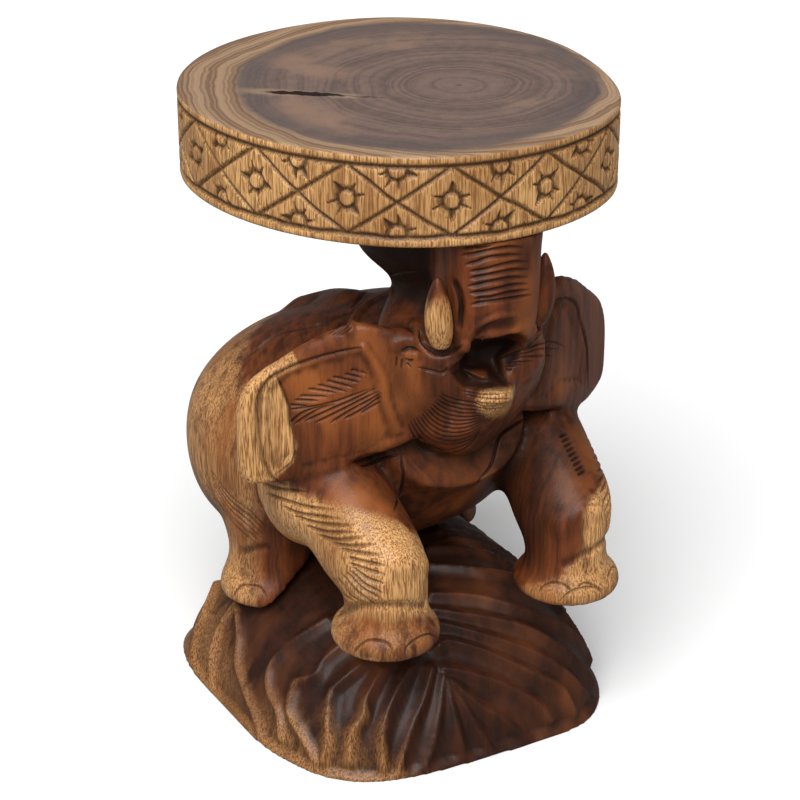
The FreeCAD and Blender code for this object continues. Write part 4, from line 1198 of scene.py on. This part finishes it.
# The form is parted into its pieces, and the open side of each is folded in and filled
elephant_wood = wood("elephant_wood", ELEPHANT_TONES, ELEPHANT_RINGS)
whole = bmesh.new()
whole.from_mesh(elephant_mesh)
for number, name in enumerate(ELEPHANT_NODES):
    part = whole.copy()
    others = [face for face in part.faces if face.material_index != number]
    bmesh.ops.delete(part, geom=others, context="FACES")
    for face in part.faces:
        face.material_index = 0
    part.normal_update()
    open_edges = [edge for edge in part.edges if edge.is_boundary]
    folded = bmesh.ops.extrude_edge_only(part, edges=open_edges)["geom"]
    blend_layer = part.verts.layers.float_vector["blend_normal"]
    for vertex in (item for item in folded if isinstance(item, bmesh.types.BMVert)):
        vertex.co -= vertex[blend_layer] * CAP_DEPTH
    inner_edges = [item for item in folded if isinstance(item, bmesh.types.BMEdge)]
    bmesh.ops.holes_fill(part, edges=inner_edges, sides=0)
    part_mesh = bpy.data.meshes.new(name + "_carved")
    part.to_mesh(part_mesh)
    part.free()
    part_mesh.materials.clear()
    part_mesh.materials.append(elephant_wood)
    part_mesh.shade_smooth()
    part_points = points_of(part_mesh)
    if name in SAP_PATCHES:
        slope, most = SAP_BORDERS[name]
        sapwood = np.clip(0.5 + depth_inside(part_points, SAP_PATCHES[name]) / slope, -1, most)
    else:
        sapwood = np.minimum(sapwood_of(part_points), SAP_LIMITS.get(name, SAP_LIMIT))
        sapwood -= BACK_SHADE * np.clip((part_points[:, 2] - BACK_LEVEL) / BACK_SPAN, 0, 1)
    for owner, outline, slope, share in SOFT_PATCHES:
        if owner == name:
            inside_patch = np.clip(0.5 + depth_inside(part_points, outline) / slope, 0, 1)
            sapwood += (share - sapwood) * inside_patch
    part_mesh.attributes["sapwood"].data.foreach_set("value", sapwood)
    kept = np.zeros(len(part_mesh.vertices) * 3)
    part_mesh.attributes["blend_normal"].data.foreach_get("vector", kept)
    part_mesh.normals_split_custom_set_from_vertices(kept.reshape(-1, 3))
    carved_part = bpy.data.objects.new("carved_" + name, part_mesh)
    scene.collection.objects.link(carved_part)
    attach(carved_part, "root")
    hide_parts(name)
whole.free()

# Tusks: two short leaf-shaped blades of the same wood, glued in beside the trunk. The right one
# is golden where it stands out of the heart of the log, and the left one is dark.
TUSK_VOXEL = 0.9 * MM
TUSK_GOLD_TOP = 392 * MM
TUSK_GOLD_SPAN = 18 * MM
TUSK_DARK = -0.5
for name in ("right_tusk", "left_tusk"):
    tusk_mesh = shaped_by(merged_copy(name), "REMESH", mode="VOXEL", voxel_size=TUSK_VOXEL)
    relaxed(tusk_mesh, 4, 0.5, 0.5)
    tusk_levels = points_of(tusk_mesh)[:, 2]
    golden = np.full(len(tusk_levels), TUSK_DARK)
    if name == "right_tusk":
        golden = np.clip((TUSK_GOLD_TOP - tusk_levels) / TUSK_GOLD_SPAN, -1, 1)
    set_values(tusk_mesh, "sapwood", 0.5 + golden)
    set_values(tusk_mesh, "stain_and_shade", np.zeros(len(tusk_levels)))
    tusk_mesh.materials.clear()
    tusk_mesh.materials.append(elephant_wood)
    tusk_mesh.shade_smooth()
    tusk = bpy.data.objects.new("carved_" + name, tusk_mesh)
    scene.collection.objects.link(tusk)
    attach(tusk, "root")
    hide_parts(name)

# Dowels and pins: plain turned hardwood rods that hold the pieces together. They are glued into
# drilled holes and can't be seen from outside.
DOWEL_RINGS = 0.3
dowel_wood = wood("dowel_wood", ELEPHANT_TONES, DOWEL_RINGS)
for name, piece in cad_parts.items():
    if name.endswith(("_dowel", "_pin")):
        piece.data.materials.clear()
        piece.data.materials.append(dowel_wood)
